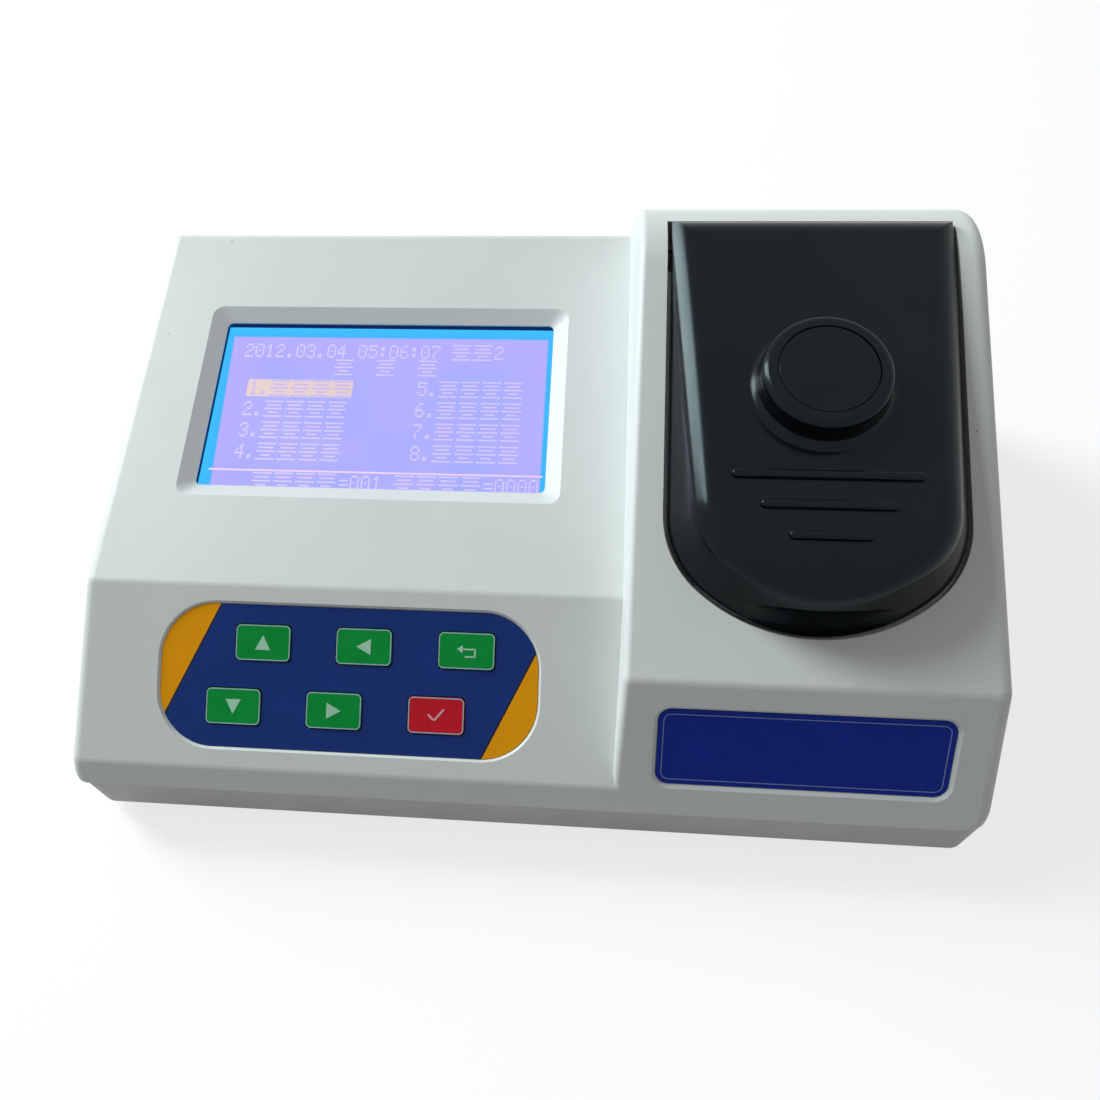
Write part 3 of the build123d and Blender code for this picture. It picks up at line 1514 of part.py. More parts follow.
connector_top = board_upper + connector_height
display_exit = display_plane.from_local_coords((0, 0, display_socket))
keypad_exit = keypad_plane.from_local_coords((0, 0, keypad_socket))
display_ribbon_bend = display_plane.from_local_coords((0, 0, display_socket - display_ribbon_lead))
keypad_ribbon_bend = keypad_plane.from_local_coords((0, 0, keypad_socket - keypad_ribbon_lead))
keypad_ribbon_end_y = main_board_y - main_board_depth / 2 + connector_depth
ribbon_routes = {
    "display_ribbon": (
        display_x,
        display_ribbon_width,
        [
            (display_exit.Y, display_exit.Z),
            (display_ribbon_bend.Y, display_ribbon_bend.Z),
            (display_ribbon_bend.Y, connector_top),
        ],
    ),
    "keypad_ribbon": (
        keypad_x,
        keypad_ribbon_width,
        [
            (keypad_exit.Y, keypad_exit.Z),
            (keypad_ribbon_bend.Y, keypad_ribbon_bend.Z),
            (keypad_ribbon_end_y, keypad_ribbon_bend.Z),
            (keypad_ribbon_end_y, connector_top),
        ],
    ),
}
for name, (x, width, points) in ribbon_routes.items():
    with BuildPart() as ribbon:
        with BuildSketch(Plane.YZ.offset(x - width / 2)) as section:
            with BuildLine() as route:
                FilletPolyline(*points, radius=ribbon_radius)
            trace(route.line, ribbon_thickness)
        extrude(section.sketch, amount=width)
    place_part(ribbon.part, name)

cable_ends = {
    "light_cable": (main_board_x + main_board_width / 2 - connector_depth, well_y - cable_spread),
    "sensor_cable": (main_board_x + main_board_width / 2 - connector_depth, well_y + cable_spread),
}
panel_cable_y = main_board_y + main_board_depth / 2 - connector_depth
connector_blocks = [
    (display_x, display_ribbon_bend.Y, display_ribbon_width + connector_margin, connector_depth),
    (keypad_x, keypad_ribbon_end_y, keypad_ribbon_width + connector_margin, connector_depth),
]
connector_blocks += [(x, y, cable_socket, cable_socket) for x, y in cable_ends.values()]
panel_cable_starts = [
    (switch_x, panel_front - switch_body_depth),
    (jack_x, panel_back - jack_body_depth),
    (port_x, panel_front - port_body_depth),
]
connector_blocks += [
    (panel_x - x, panel_cable_y, cable_socket, cable_socket) for x, _ in panel_cable_starts
]
with BuildPart() as board_connectors:
    for x, y, width, length in connector_blocks:
        board_block((x - main_board_x, y - main_board_y), board_upper, connector_top, width, length)
place_part(board_connectors.part, "board_connectors")


def cable(plane, points):
    """Round cable along straight runs and bends that lie in a plane."""
    with BuildLine(plane) as route:
        FilletPolyline(*points, radius=cable_bend)
    with BuildSketch(Plane(origin=route.line @ 0, z_dir=route.line % 0)) as section:
        Circle(cable_radius)
    sweep(section.sketch, path=route.line)


cable_z = light_path_z - cable_drop_on_board
light_x, light_y = cable_ends["light_cable"]
sensor_x, sensor_y = cable_ends["sensor_cable"]
with BuildPart() as light_cable:
    cable(
        Plane.XZ.offset(-light_y),
        [(lid_x - board_outside, cable_z), (light_x, cable_z), (light_x, connector_top)],
    )
place_part(light_cable.part, "light_cable")

with BuildPart() as sensor_cable:
    far_x = lid_x + board_outside + 2 * cable_bend
    cable(
        Plane.XZ.offset(-sensor_y),
        [
            (lid_x + board_outside, cable_z),
            (far_x, cable_z),
            (far_x, cable_drop_z),
            (sensor_x, cable_drop_z),
            (sensor_x, connector_top),
        ],
    )
place_part(sensor_cable.part, "sensor_cable")

with BuildPart() as panel_cables:
    for x, start in panel_cable_starts:
        end = rear_plane.from_local_coords((x, 0, start - cable_gap))
        corner = (panel_cable_y, end.Z)
        cable(Plane.YZ.offset(end.X), [(end.Y, end.Z), corner, (panel_cable_y, connector_top)])
place_part(panel_cables.part, "panel_cables")
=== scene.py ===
"""Looks of the bench chlorine analyzer: finishes, printed keypad, lit display, studio light and camera.

Metres, in the frame's own axes: +X to the user's right, +Y to the back, +Z up.
"""

import json
import math

import bmesh
import bpy
from mathutils import Euler, Matrix, Vector


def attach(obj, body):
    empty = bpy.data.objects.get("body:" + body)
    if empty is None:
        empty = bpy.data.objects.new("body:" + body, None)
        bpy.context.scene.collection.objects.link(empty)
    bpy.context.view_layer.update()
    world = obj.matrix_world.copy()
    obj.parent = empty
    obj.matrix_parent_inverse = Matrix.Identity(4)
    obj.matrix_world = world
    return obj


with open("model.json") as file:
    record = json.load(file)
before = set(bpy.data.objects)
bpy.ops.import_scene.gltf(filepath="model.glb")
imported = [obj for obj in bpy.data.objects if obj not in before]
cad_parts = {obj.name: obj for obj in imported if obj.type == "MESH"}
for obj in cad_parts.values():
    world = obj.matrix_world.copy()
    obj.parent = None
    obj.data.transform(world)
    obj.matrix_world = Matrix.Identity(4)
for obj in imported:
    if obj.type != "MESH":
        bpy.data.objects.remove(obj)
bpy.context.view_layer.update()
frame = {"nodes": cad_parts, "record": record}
scene = bpy.context.scene
MM = 0.001
UP = Vector((0, 0, 1))
BACK = Vector((0, 1, 0))


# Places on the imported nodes, whose corners and planes are compared in these steps
CORNER_STEP = 0.01 * MM
PLANE_STEP = 0.1 * MM
NORMAL_DIGITS = 2


def corners_of(node, polygons):
    """Places of the corners of some of a node's polygons."""
    vertices = frame["nodes"][node].data.vertices
    return [vertices[index].co for index in {place for polygon in polygons for place in polygon.vertices}]


def box_of(points):
    """Lowest and highest corner of the box round points."""
    return Vector(map(min, zip(*points))), Vector(map(max, zip(*points)))


def flat_faces(polygons):
    """Groups of polygons that lie in one plane each."""
    groups = {}
    for polygon in polygons:
        height = polygon.normal.dot(polygon.center)
        plane = (*(round(share, NORMAL_DIGITS) for share in polygon.normal), round(height / PLANE_STEP))
        groups.setdefault(plane, []).append(polygon)
    return list(groups.values())


def largest_of(groups):
    """Group of polygons with the largest area."""
    return max(groups, key=lambda polygons: sum(polygon.area for polygon in polygons))


def face_of(node, towards=UP, within=0.5):
    """Matrix of a node's largest flat face near a direction: X to its right, Y up it, Z outwards.

    A face is near where the cosine of its angle to the direction is over within.
    """
    polygons = frame["nodes"][node].data.polygons
    near = [polygon for polygon in polygons if polygon.normal.dot(towards) > within]
    largest = largest_of(flat_faces(near))
    outwards = sum((polygon.normal * polygon.area for polygon in largest), Vector()).normalized()
    right = UP.cross(outwards).normalized()
    turn = Matrix((right, outwards.cross(right), outwards)).transposed().to_4x4()
    to_face = turn.inverted()
    low, high = box_of([to_face @ corner for corner in corners_of(node, largest)])
    return turn @ Matrix.Translation((low + high) / 2)


def over(face, height):
    """Matrix of a face moved outwards by a height."""
    return face @ Matrix.Translation((0, 0, height))


def solids_of(node):
    """Polygons of each separate solid in a node, as lists."""
    mesh = frame["nodes"][node].data
    spots = [tuple(round(share / CORNER_STEP) for share in vertex.co) for vertex in mesh.vertices]
    leader = {spot: spot for spot in spots}

    def first(spot):
        while leader[spot] != spot:
            leader[spot] = leader[leader[spot]]
            spot = leader[spot]
        return spot

    for polygon in mesh.polygons:
        anchor = first(spots[polygon.vertices[0]])
        for index in polygon.vertices[1:]:
            leader[first(spots[index])] = anchor
    solids = {}
    for polygon in mesh.polygons:
        solids.setdefault(first(spots[polygon.vertices[0]]), []).append(polygon)
    return list(solids.values())


display_face = face_of("display_glass")
keypad_face = face_of("keypad_sheet")
nameplate_face = face_of("nameplate")


# Material building blocks: the span that noise mostly keeps to, and a Mix node's colour sockets
NOISE_SPAN = (0.3, 0.7)
NOISE_ROUGHNESS = 0.55
LOWEST_ROUGHNESS = 0.02
MIX_FIRST = 6
MIX_SECOND = 7
MIX_RESULT = 2


def shade(colour, share):
    """Colour made darker or lighter by a share."""
    return tuple(min(1.0, share * channel) for channel in colour)


class Finish:
    """A procedural material on object coordinates, built around one shader."""

    def __init__(self, name, colour, roughness, metallic=0.0, **sockets):
        self.material = bpy.data.materials.new(name)
        self.material.use_nodes = True
        self.nodes = self.material.node_tree.nodes
        self.links = self.material.node_tree.links
        self.nodes.clear()
        self.shader = self.node("ShaderNodeBsdfPrincipled")
        output = self.node("ShaderNodeOutputMaterial")
        self.join(self.shader.outputs["BSDF"], output.inputs["Surface"])
        self.shader.inputs["Base Color"].default_value = (*colour, 1)
        self.shader.inputs["Roughness"].default_value = roughness
        self.shader.inputs["Metallic"].default_value = metallic
        for socket, value in sockets.items():
            self.shader.inputs[socket.replace("_", " ")].default_value = value
        self.place = self.node("ShaderNodeTexCoord").outputs["Object"]
        self.colour = colour
        self.roughness = roughness

    def node(self, kind, **settings):
        """New node of a kind, with its settings."""
        made = self.nodes.new(kind)
        for name, value in settings.items():
            setattr(made, name, value)
        return made

    def join(self, source, target):
        """Link from one socket to another."""
        self.links.new(source, target)

    def on_face(self, face):
        """Distances across and up a face, from its middle."""
        mapping = self.node("ShaderNodeMapping", vector_type="TEXTURE")
        mapping.inputs["Location"].default_value = face.to_translation()
        mapping.inputs["Rotation"].default_value = face.to_euler()
        self.join(self.place, mapping.inputs["Vector"])
        split = self.node("ShaderNodeSeparateXYZ")
        self.join(mapping.outputs["Vector"], split.inputs[0])
        return split.outputs["X"], split.outputs["Y"]

    def stretch(self, scale):
        """Coordinates scaled differently along each axis."""
        mapping = self.node("ShaderNodeMapping")
        mapping.inputs["Scale"].default_value = scale
        self.join(self.place, mapping.inputs["Vector"])
        return mapping.outputs["Vector"]

    def noise(self, size, detail=3.0, vector=None):
        """Noise whose features are about size metres across."""
        texture = self.node("ShaderNodeTexNoise")
        texture.inputs["Scale"].default_value = 1 / size
        texture.inputs["Detail"].default_value = detail
        texture.inputs["Roughness"].default_value = NOISE_ROUGHNESS
        self.join(vector or self.place, texture.inputs["Vector"])
        return texture.outputs["Fac"]

    def cells(self, size, reach):
        """One in small dots: one inside reach of each random cell's point, in cells size metres apart."""
        texture = self.node("ShaderNodeTexVoronoi")
        texture.inputs["Scale"].default_value = 1 / size
        self.join(self.place, texture.inputs["Vector"])
        return self.math("LESS_THAN", texture.outputs["Distance"], reach / size)

    def math(self, operation, *values):
        """One arithmetic step on sockets or numbers."""
        step = self.node("ShaderNodeMath", operation=operation)
        for index, value in enumerate(values):
            if isinstance(value, (int, float)):
                step.inputs[index].default_value = value
            else:
                self.join(value, step.inputs[index])
        return step.outputs[0]

    def remap(self, value, span, result=(0, 1)):
        """Value stretched from one span of numbers to another, and kept within it."""
        step = self.node("ShaderNodeMapRange")
        self.join(value, step.inputs["Value"])
        for socket, number in zip(("From Min", "From Max", "To Min", "To Max"), (*span, *result)):
            step.inputs[socket].default_value = number
        return step.outputs["Result"]

    def mix(self, share, first, second):
        """Colour between two colours or sockets."""
        blend = self.node("ShaderNodeMix", data_type="RGBA")
        self.join(share, blend.inputs[0])
        for index, value in ((MIX_FIRST, first), (MIX_SECOND, second)):
            if isinstance(value, tuple):
                blend.inputs[index].default_value = (*value, 1)
            else:
                self.join(value, blend.inputs[index])
        return blend.outputs[MIX_RESULT]

    def mottle(self, amount, size, tint=(1.0, 1.0, 1.0)):
        """Slow variation of the base colour."""
        dark = shade(self.colour, 1 - amount)
        light = tuple(min(1.0, channel * (1 + amount) * part) for channel, part in zip(self.colour, tint))
        return self.paint(self.mix(self.remap(self.noise(size), NOISE_SPAN), dark, light))

    def specks(self, size, reach, colour):
        """Few tiny specks over what is painted so far."""
        return self.paint(self.mix(self.cells(size, reach), self.tone, colour))

    def smudge(self, amount, size):
        """Uneven gloss."""
        span = (max(LOWEST_ROUGHNESS, self.roughness - amount), min(1.0, self.roughness + amount))
        self.join(self.remap(self.noise(size, detail=4), NOISE_SPAN, span), self.shader.inputs["Roughness"])
        return self

    def grain(self, height, size, detail=2.0, vector=None):
        """Fine relief of the surface."""
        return self.relief(self.noise(size, detail, vector), height)

    def relief(self, pattern, height):
        """Relief that rises by a height where the pattern is one."""
        bump = self.node("ShaderNodeBump")
        bump.inputs["Distance"].default_value = height
        self.join(pattern, bump.inputs["Height"])
        self.join(bump.outputs["Normal"], self.shader.inputs["Normal"])
        return self

    def paint(self, colour):
        """Takes the base colour from a socket."""
        self.tone = colour
        self.join(colour, self.shader.inputs["Base Color"])
        return self

    def glow(self, colour):
        """Takes the light that the finish gives off from a colour socket, at full strength."""
        self.join(colour, self.shader.inputs["Emission Color"])
        self.shader.inputs["Emission Strength"].default_value = 1.0
        return self


# Plastics, rubber, metal and glass
HOUSING_WHITE = (0.70, 0.735, 0.725)
# The base is the housing's plastic, painted darker and warmer as shade, since it faces down and to the
# front
SHADED_BASE_WHITE = (0.50, 0.475, 0.475)
SPECK_GREY = (0.30, 0.30, 0.28)
SPECK_SPACING = 19 * MM
SPECK_REACH = 0.32 * MM
LID_BLACK = (0.003, 0.0042, 0.0058)
LID_TINT = (1.0, 1.08, 1.15)
LID_GLINT = (0.72, 0.93, 1.0, 1.0)
METAL_STREAKS = (1, 12, 12)


def moulded(name, colour, roughness=0.42, grain=0.02 * MM, **sockets):
    """Injection-moulded plastic with a fine eroded texture."""
    finish = Finish(name, colour, roughness, **sockets)
    finish.mottle(amount=0.02, size=35 * MM).smudge(amount=0.05, size=18 * MM)
    return finish.grain(height=grain, size=0.55 * MM)


def housing_plastic(name, colour):
    """The housing's textured plastic, with the few specks that such a moulding has."""
    finish = moulded(name, colour, roughness=0.46, grain=0.03 * MM, Specular_IOR_Level=0.4)
    return finish.specks(SPECK_SPACING, SPECK_REACH, SPECK_GREY)


def polished_black():
    """Polished lid moulding, smooth but for faint waves and uneven gloss."""
    finish = Finish("polished_black", LID_BLACK, 0.20, Specular_IOR_Level=0.17, Specular_Tint=LID_GLINT)
    finish.mottle(amount=0.3, size=30 * MM, tint=LID_TINT).smudge(amount=0.05, size=14 * MM)
    return finish.grain(height=0.006 * MM, size=5.0 * MM, detail=1.0)


def metal(name, colour, roughness):
    """Plated or brushed metal with fine streaks along X."""
    finish = Finish(name, colour, roughness, metallic=1.0)
    finish.smudge(amount=0.08, size=2 * MM).mottle(amount=0.08, size=4 * MM)
    return finish.grain(height=0.0012 * MM, size=1.5 * MM, vector=finish.stretch(METAL_STREAKS))


def printed(name, colour, specular=0.15):
    """Satin printed film or key plastic."""
    finish = Finish(name, colour, 0.42, Specular_IOR_Level=specular)
    finish.mottle(amount=0.07, size=9 * MM).smudge(amount=0.05, size=4 * MM)
    return finish.grain(height=0.01 * MM, size=0.35 * MM)


def glass(name, colour):
    """Clear or coloured glass with a faint smear."""
    finish = Finish(name, colour, 0.03, Transmission_Weight=0.9, IOR=1.5)
    return finish.smudge(amount=0.015, size=3 * MM)


# Circuit boards: raised tracks, which end at a share of their spacing, and round pads
TRACK_SPACING = 4.2 * MM
TRACK_RANDOMNESS = 0.75
TRACK_EDGE = (0.04, 0.07)
TRACK_HEIGHT = 0.04 * MM
TRACK_LIGHTER = 2.2
PAD_SPACING = 5.5 * MM
PAD_REACH = 0.85 * MM
PAD_TIN = (0.62, 0.60, 0.55)


def circuit_board(name, colour):
    """Solder mask over raised tracks, with tinned pads between them."""
    finish = Finish(name, colour, 0.30, Coat_Weight=0.2)
    edges = finish.node("ShaderNodeTexVoronoi", feature="DISTANCE_TO_EDGE", distance="MANHATTAN")
    edges.inputs["Scale"].default_value = 1 / TRACK_SPACING
    edges.inputs["Randomness"].default_value = TRACK_RANDOMNESS
    finish.join(finish.place, edges.inputs["Vector"])
    tracks = finish.remap(edges.outputs["Distance"], TRACK_EDGE, (1, 0))
    mask = finish.mix(tracks, colour, shade(colour, TRACK_LIGHTER))
    finish.paint(finish.mix(finish.cells(PAD_SPACING, PAD_REACH), mask, PAD_TIN))
    return finish.relief(tracks, TRACK_HEIGHT)


# Ribbons: a wave texture of scale 1 repeats twenty times in a full turn's length
WIRE_PITCH = 1.27 * MM
WAVE_LENGTH = math.tau / 20
WIRE_HEIGHT = 0.3 * MM
# Share of the wires' colour kept by the painted shade between them
VALLEY_SHADE_SHARE = 0.45


def ribbon(name, colour):
    """Flat cable: round wires side by side, with shade painted between them."""
    finish = Finish(name, colour, 0.38)
    bands = finish.node("ShaderNodeTexWave", bands_direction="X", wave_profile="SIN")
    bands.inputs["Scale"].default_value = WAVE_LENGTH / WIRE_PITCH
    finish.join(finish.place, bands.inputs["Vector"])
    finish.paint(finish.mix(bands.outputs["Fac"], shade(colour, VALLEY_SHADE_SHARE), colour))
    return finish.relief(bands.outputs["Fac"], WIRE_HEIGHT)


# Printed keypad: blue, with orange ends behind slanting lines
PRINT_BLUE = (0.0085, 0.034, 0.195)
PRINT_ORANGE = (0.90, 0.37, 0.002)
LINE_NAVY = (0.012, 0.012, 0.03)
SLANT = 0.481
SLANT_LEFT = -50.44 * MM
SLANT_RIGHT = 52.35 * MM
SLANT_LINE = 0.28 * MM
FADED_SIZE = 22 * MM
FADED_BLUE = shade(PRINT_BLUE, 1.15)
FADED_ORANGE = shade(PRINT_ORANGE, 1.05)


def keypad_print():
    """Blue film with orange ends, and a thin dark line along each."""
    finish = Finish("keypad_print", PRINT_BLUE, 0.42, Specular_IOR_Level=0.12)
    x, y = finish.on_face(keypad_face)
    across = finish.math("SUBTRACT", x, finish.math("MULTIPLY", y, SLANT))
    middle = (SLANT_LEFT + SLANT_RIGHT) / 2
    half = (SLANT_RIGHT - SLANT_LEFT) / 2
    from_middle = finish.math("ABSOLUTE", finish.math("SUBTRACT", across, middle))
    past = finish.math("SUBTRACT", from_middle, half)
    ends = finish.math("GREATER_THAN", past, 0.0)
    line = finish.math("LESS_THAN", finish.math("ABSOLUTE", past), SLANT_LINE)
    faded = finish.remap(finish.noise(FADED_SIZE), NOISE_SPAN)
    blue = finish.mix(faded, PRINT_BLUE, FADED_BLUE)
    orange = finish.mix(faded, PRINT_ORANGE, FADED_ORANGE)
    finish.paint(finish.mix(line, finish.mix(ends, blue, orange), LINE_NAVY))
    return finish.smudge(amount=0.04, size=15 * MM).grain(height=0.008 * MM, size=0.4 * MM)


# Lit display: a lavender picture area inside a bright cyan border, and a painted frame shadow on top and
# left edges
SCREEN_WIDTH = 114.0 * MM
SCREEN_HEIGHT = 64.0 * MM
BORDER_TOP = 4.9 * MM
BORDER_LEFT = 3.5 * MM
BORDER_LEFT_SLANT = 0.031
BORDER_RIGHT = 1.8 * MM
BORDER_SOFT = 0.35 * MM
BORDER_FADE = 6 * MM
# Widths of the painted frame shadow along the top and left edges, and of its soft edge
FRAME_SHADOW_TOP = 1.0 * MM
FRAME_SHADOW_LEFT = 0.35 * MM
FRAME_SHADOW_SOFT = 0.1 * MM
CLOUD_SIZE = 45 * MM
CLOUD_START = -16 * MM
CLOUD_END = -1 * MM
CLOUD_SHARES = (0.3, 1)
TINGE_SIZE = 30 * MM
TINGE_SPAN = (0.35, 0.65)
BORDER_CYAN = (0.025, 0.55, 0.98)
BORDER_DEEP = (0.025, 0.44, 0.98)
LIT_LAVENDER = (0.43, 0.42, 0.97)
LIT_BLUE = (0.37, 0.40, 0.97)
LIT_VIOLET = (0.475, 0.40, 0.95)
TEXT_PALE = (0.68, 0.58, 0.99)
BAR_TAN = (0.74, 0.56, 0.52)
LINE_PALE = (0.84, 0.60, 0.98)
UNLIT = (0.01, 0.012, 0.03)
FRAME_SHADOW_NAVY = (0.002, 0.018, 0.10)
GLOW_SIZE = 7 * MM
GLOW_DARKER = 0.92


def display_picture():
    """Glossy glass that glows with the picture's ground and its border, and a painted frame shadow on its
    top and left edges.
    """
    finish = Finish("display_picture", UNLIT, 0.10, Specular_IOR_Level=0.25)
    x, y = finish.on_face(display_face)
    slanted = finish.math("ADD", x, finish.math("MULTIPLY", y, BORDER_LEFT_SLANT))
    left = finish.math("SUBTRACT", BORDER_LEFT - SCREEN_WIDTH / 2, slanted)
    right = finish.math("SUBTRACT", x, SCREEN_WIDTH / 2 - BORDER_RIGHT)
    top = finish.math("SUBTRACT", y, SCREEN_HEIGHT / 2 - BORDER_TOP)
    past = finish.math("MAXIMUM", finish.math("MAXIMUM", left, right), top)
    rim = finish.remap(past, (CLOUD_START, CLOUD_END))
    cloud = finish.math("MULTIPLY", finish.remap(finish.noise(CLOUD_SIZE), NOISE_SPAN, CLOUD_SHARES), rim)
    tinge = finish.remap(finish.noise(TINGE_SIZE, detail=1.0), TINGE_SPAN)
    area = finish.mix(cloud, finish.mix(tinge, LIT_LAVENDER, LIT_BLUE), LIT_VIOLET)
    edge = finish.mix(finish.remap(past, (0, BORDER_FADE)), BORDER_DEEP, BORDER_CYAN)
    lit = finish.mix(finish.remap(past, (-BORDER_SOFT, BORDER_SOFT)), area, edge)
    # Painted shadow of the frame: a dark navy band along the top and left edges
    above = finish.math("SUBTRACT", y, SCREEN_HEIGHT / 2 - FRAME_SHADOW_TOP)
    beside = finish.math("SUBTRACT", FRAME_SHADOW_LEFT - SCREEN_WIDTH / 2, x)
    dark = finish.remap(finish.math("MAXIMUM", above, beside), (-FRAME_SHADOW_SOFT, FRAME_SHADOW_SOFT))
    return finish.glow(finish.mix(dark, lit, FRAME_SHADOW_NAVY))


def glowing(name, colour):
    """Slightly uneven glow, for the dots and bars of the lit picture."""
    finish = Finish(name, UNLIT, 0.5)
    uneven = finish.mix(finish.noise(GLOW_SIZE), shade(colour, GLOW_DARKER), colour)
    return finish.glow(uneven)


finishes = {
    "housing_plastic": housing_plastic("housing_plastic", HOUSING_WHITE),
    # The base's colour is the housing's plastic in painted shade
    "base_plastic": housing_plastic("base_plastic", SHADED_BASE_WHITE),
    "lid_plastic": polished_black(),
    "holder_plastic": moulded("holder_plastic", (0.018, 0.018, 0.019), 0.55),
    "foot_rubber": moulded("foot_rubber", (0.022, 0.022, 0.023), 0.75, 0.04 * MM),
    "screw_steel": metal("screw_steel", (0.55, 0.55, 0.57), 0.28),
    # Steel painted near black, as the shade where the hinge pins sit in the gap beside the lid
    "pin_steel": metal("pin_steel", (0.035, 0.035, 0.04), 0.4),
    "display_glass": display_picture(),
    "display_metal": metal("display_metal", (0.03, 0.05, 0.16), 0.45),
    "light_guide": moulded("light_guide", (0.70, 0.80, 0.88), 0.2, 0.004 * MM),
    "circuit_board": circuit_board("circuit_board", (0.006, 0.075, 0.028)),
    "keypad_print": keypad_print(),
    "key_green": printed("key_green", (0.002, 0.30, 0.046), 0.1),
    "key_red": printed("key_red", (0.64, 0.013, 0.026), 0.1),
    "dome_metal": metal("dome_metal", (0.65, 0.63, 0.58), 0.3),
    "nameplate_print": printed("nameplate_print", (0.0055, 0.030, 0.34), 0.1),
    "optic_glass": glass("optic_glass", (0.94, 0.97, 0.98)),
    "filter_glass": glass("filter_glass", (0.10, 0.50, 0.32)),
    "panel_metal": moulded("panel_metal", (0.030, 0.030, 0.033), 0.4, 0.03 * MM),
    "switch_plastic": moulded("switch_plastic", (0.012, 0.012, 0.013), 0.3, 0.006 * MM),
    "plated_metal": metal("plated_metal", (0.62, 0.61, 0.58), 0.25),
    "chip_plastic": moulded("chip_plastic", (0.015, 0.015, 0.016), 0.5, 0.01 * MM),
    "cooler_aluminium": metal("cooler_aluminium", (0.08, 0.08, 0.085), 0.4),
    "connector_plastic": moulded("connector_plastic", (0.62, 0.56, 0.42), 0.4, 0.006 * MM),
    "ribbon_plastic": ribbon("ribbon_plastic", (0.30, 0.31, 0.33)),
    "cable_plastic": moulded("cable_plastic", (0.02, 0.02, 0.022), 0.4, 0.004 * MM),
    "text_pale": glowing("text_pale", TEXT_PALE),
    "bar_tan": glowing("bar_tan", BAR_TAN),
    "bar_text": glowing("bar_text", LIT_VIOLET),
    "line_pale": glowing("line_pale", LINE_PALE),
    "mark_green": printed("mark_green", (0.42, 0.72, 0.52)),
    "mark_red": printed("mark_red", (0.80, 0.42, 0.46)),
    "outline_pale": printed("outline_pale", (0.38, 0.55, 0.60)),
    "plate_line": printed("plate_line", (0.22, 0.28, 0.60)),
    "mark_white": printed("mark_white", (0.75, 0.75, 0.73)),
    # Near black, painted as the shade inside the screws' crossed recesses
    "recess_shade": printed("recess_shade", (0.02, 0.02, 0.02)),
}
materials = {name: finish.material for name, finish in finishes.items()}
subparts = frame["record"]["subparts"]
for row in subparts:
    node = frame["nodes"][row["node"]]
    node.data.materials.clear()
    node.data.materials.append(materials[row["material_slot"]])
# The hinge pins are painted near black, as shade in the gap beside the lid, so that they don't shine there
frame["nodes"]["hinge_pins"].data.materials[0] = materials["pin_steel"]


# Mesh building blocks
CORNER_STEPS = 6

# Prints and lit dots lie this far over their face, and are this thick
PRINT_LIFT = 0.03 * MM
PRINT_THICKNESS = 0.05 * MM


def piece(name, mesh, material, body="root"):
    """A finished object of its own, riding on a body."""
    made = bpy.data.objects.new(name, mesh)
    scene.collection.objects.link(made)
    mesh.materials.clear()
    mesh.materials.append(materials[material])
    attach(made, body)


def finished(name, shape):
    """Mesh of a bmesh, with its faces turned outwards."""
    bmesh.ops.recalc_face_normals(shape, faces=shape.faces)
    mesh = bpy.data.meshes.new(name)
    shape.to_mesh(mesh)
    shape.free()
    return mesh


def plates(name, outlines, face):
    """Thin plates with given outlines, lying just over a face."""
    shape = bmesh.new()
    for outline in outlines:
        low = [shape.verts.new(face @ Vector((x, y, PRINT_LIFT))) for x, y in outline]
        high = [shape.verts.new(face @ Vector((x, y, PRINT_LIFT + PRINT_THICKNESS))) for x, y in outline]
        shape.faces.new(high)
        shape.faces.new(low[::-1])
        for index in range(len(outline)):
            after = (index + 1) % len(outline)
            shape.faces.new((low[index], low[after], high[after], high[index]))
    return finished(name, shape)


def rounded(width, height, radius):
    """Points of a rectangle with rounded corners, anticlockwise."""
    points = []
    for corner, (across, up) in enumerate(((1, 1), (-1, 1), (-1, -1), (1, -1))):
        for step in range(CORNER_STEPS + 1):
            angle = math.radians(90 * (corner + step / CORNER_STEPS))
            points.append((
                across * (width / 2 - radius) + radius * math.cos(angle),
                up * (height / 2 - radius) + radius * math.sin(angle),
            ))
    return points


def ring(name, width, height, corner, line, face, lift=PRINT_LIFT, thickness=PRINT_THICKNESS):
    """Thin line along a rounded rectangle, inwards from it."""
    outer = rounded(width, height, corner)
    inner = rounded(width - 2 * line, height - 2 * line, corner - line)
    edges = ((outer, lift), (outer, lift + thickness), (inner, lift + thickness), (inner, lift))
    shape = bmesh.new()
    loops = [[shape.verts.new(face @ Vector((x, y, z))) for x, y in outline] for outline, z in edges]
    for index in range(len(outer)):
        after = (index + 1) % len(outer)
        for loop, beside in zip(loops, loops[1:] + loops[:1]):
            shape.faces.new((loop[index], loop[after], beside[after], beside[index]))
    return finished(name, shape)


def bar(x, y, width, height, angle=0.0):
    """Outline of a slim rectangle round a place, turned about its own middle."""
    turn = Matrix.Rotation(math.radians(angle), 2)
    half_width, half_height = width / 2, height / 2
    corners = (
        (-half_width, -half_height), (half_width, -half_height),
        (half_width, half_height), (-half_width, half_height),
    )
    return [tuple(turn @ Vector(corner) + Vector((x, y))) for corner in corners]


# What repeats: blocks set on points by geometry nodes
BLOCK_SIZES = ("Width", "Length", "Height")


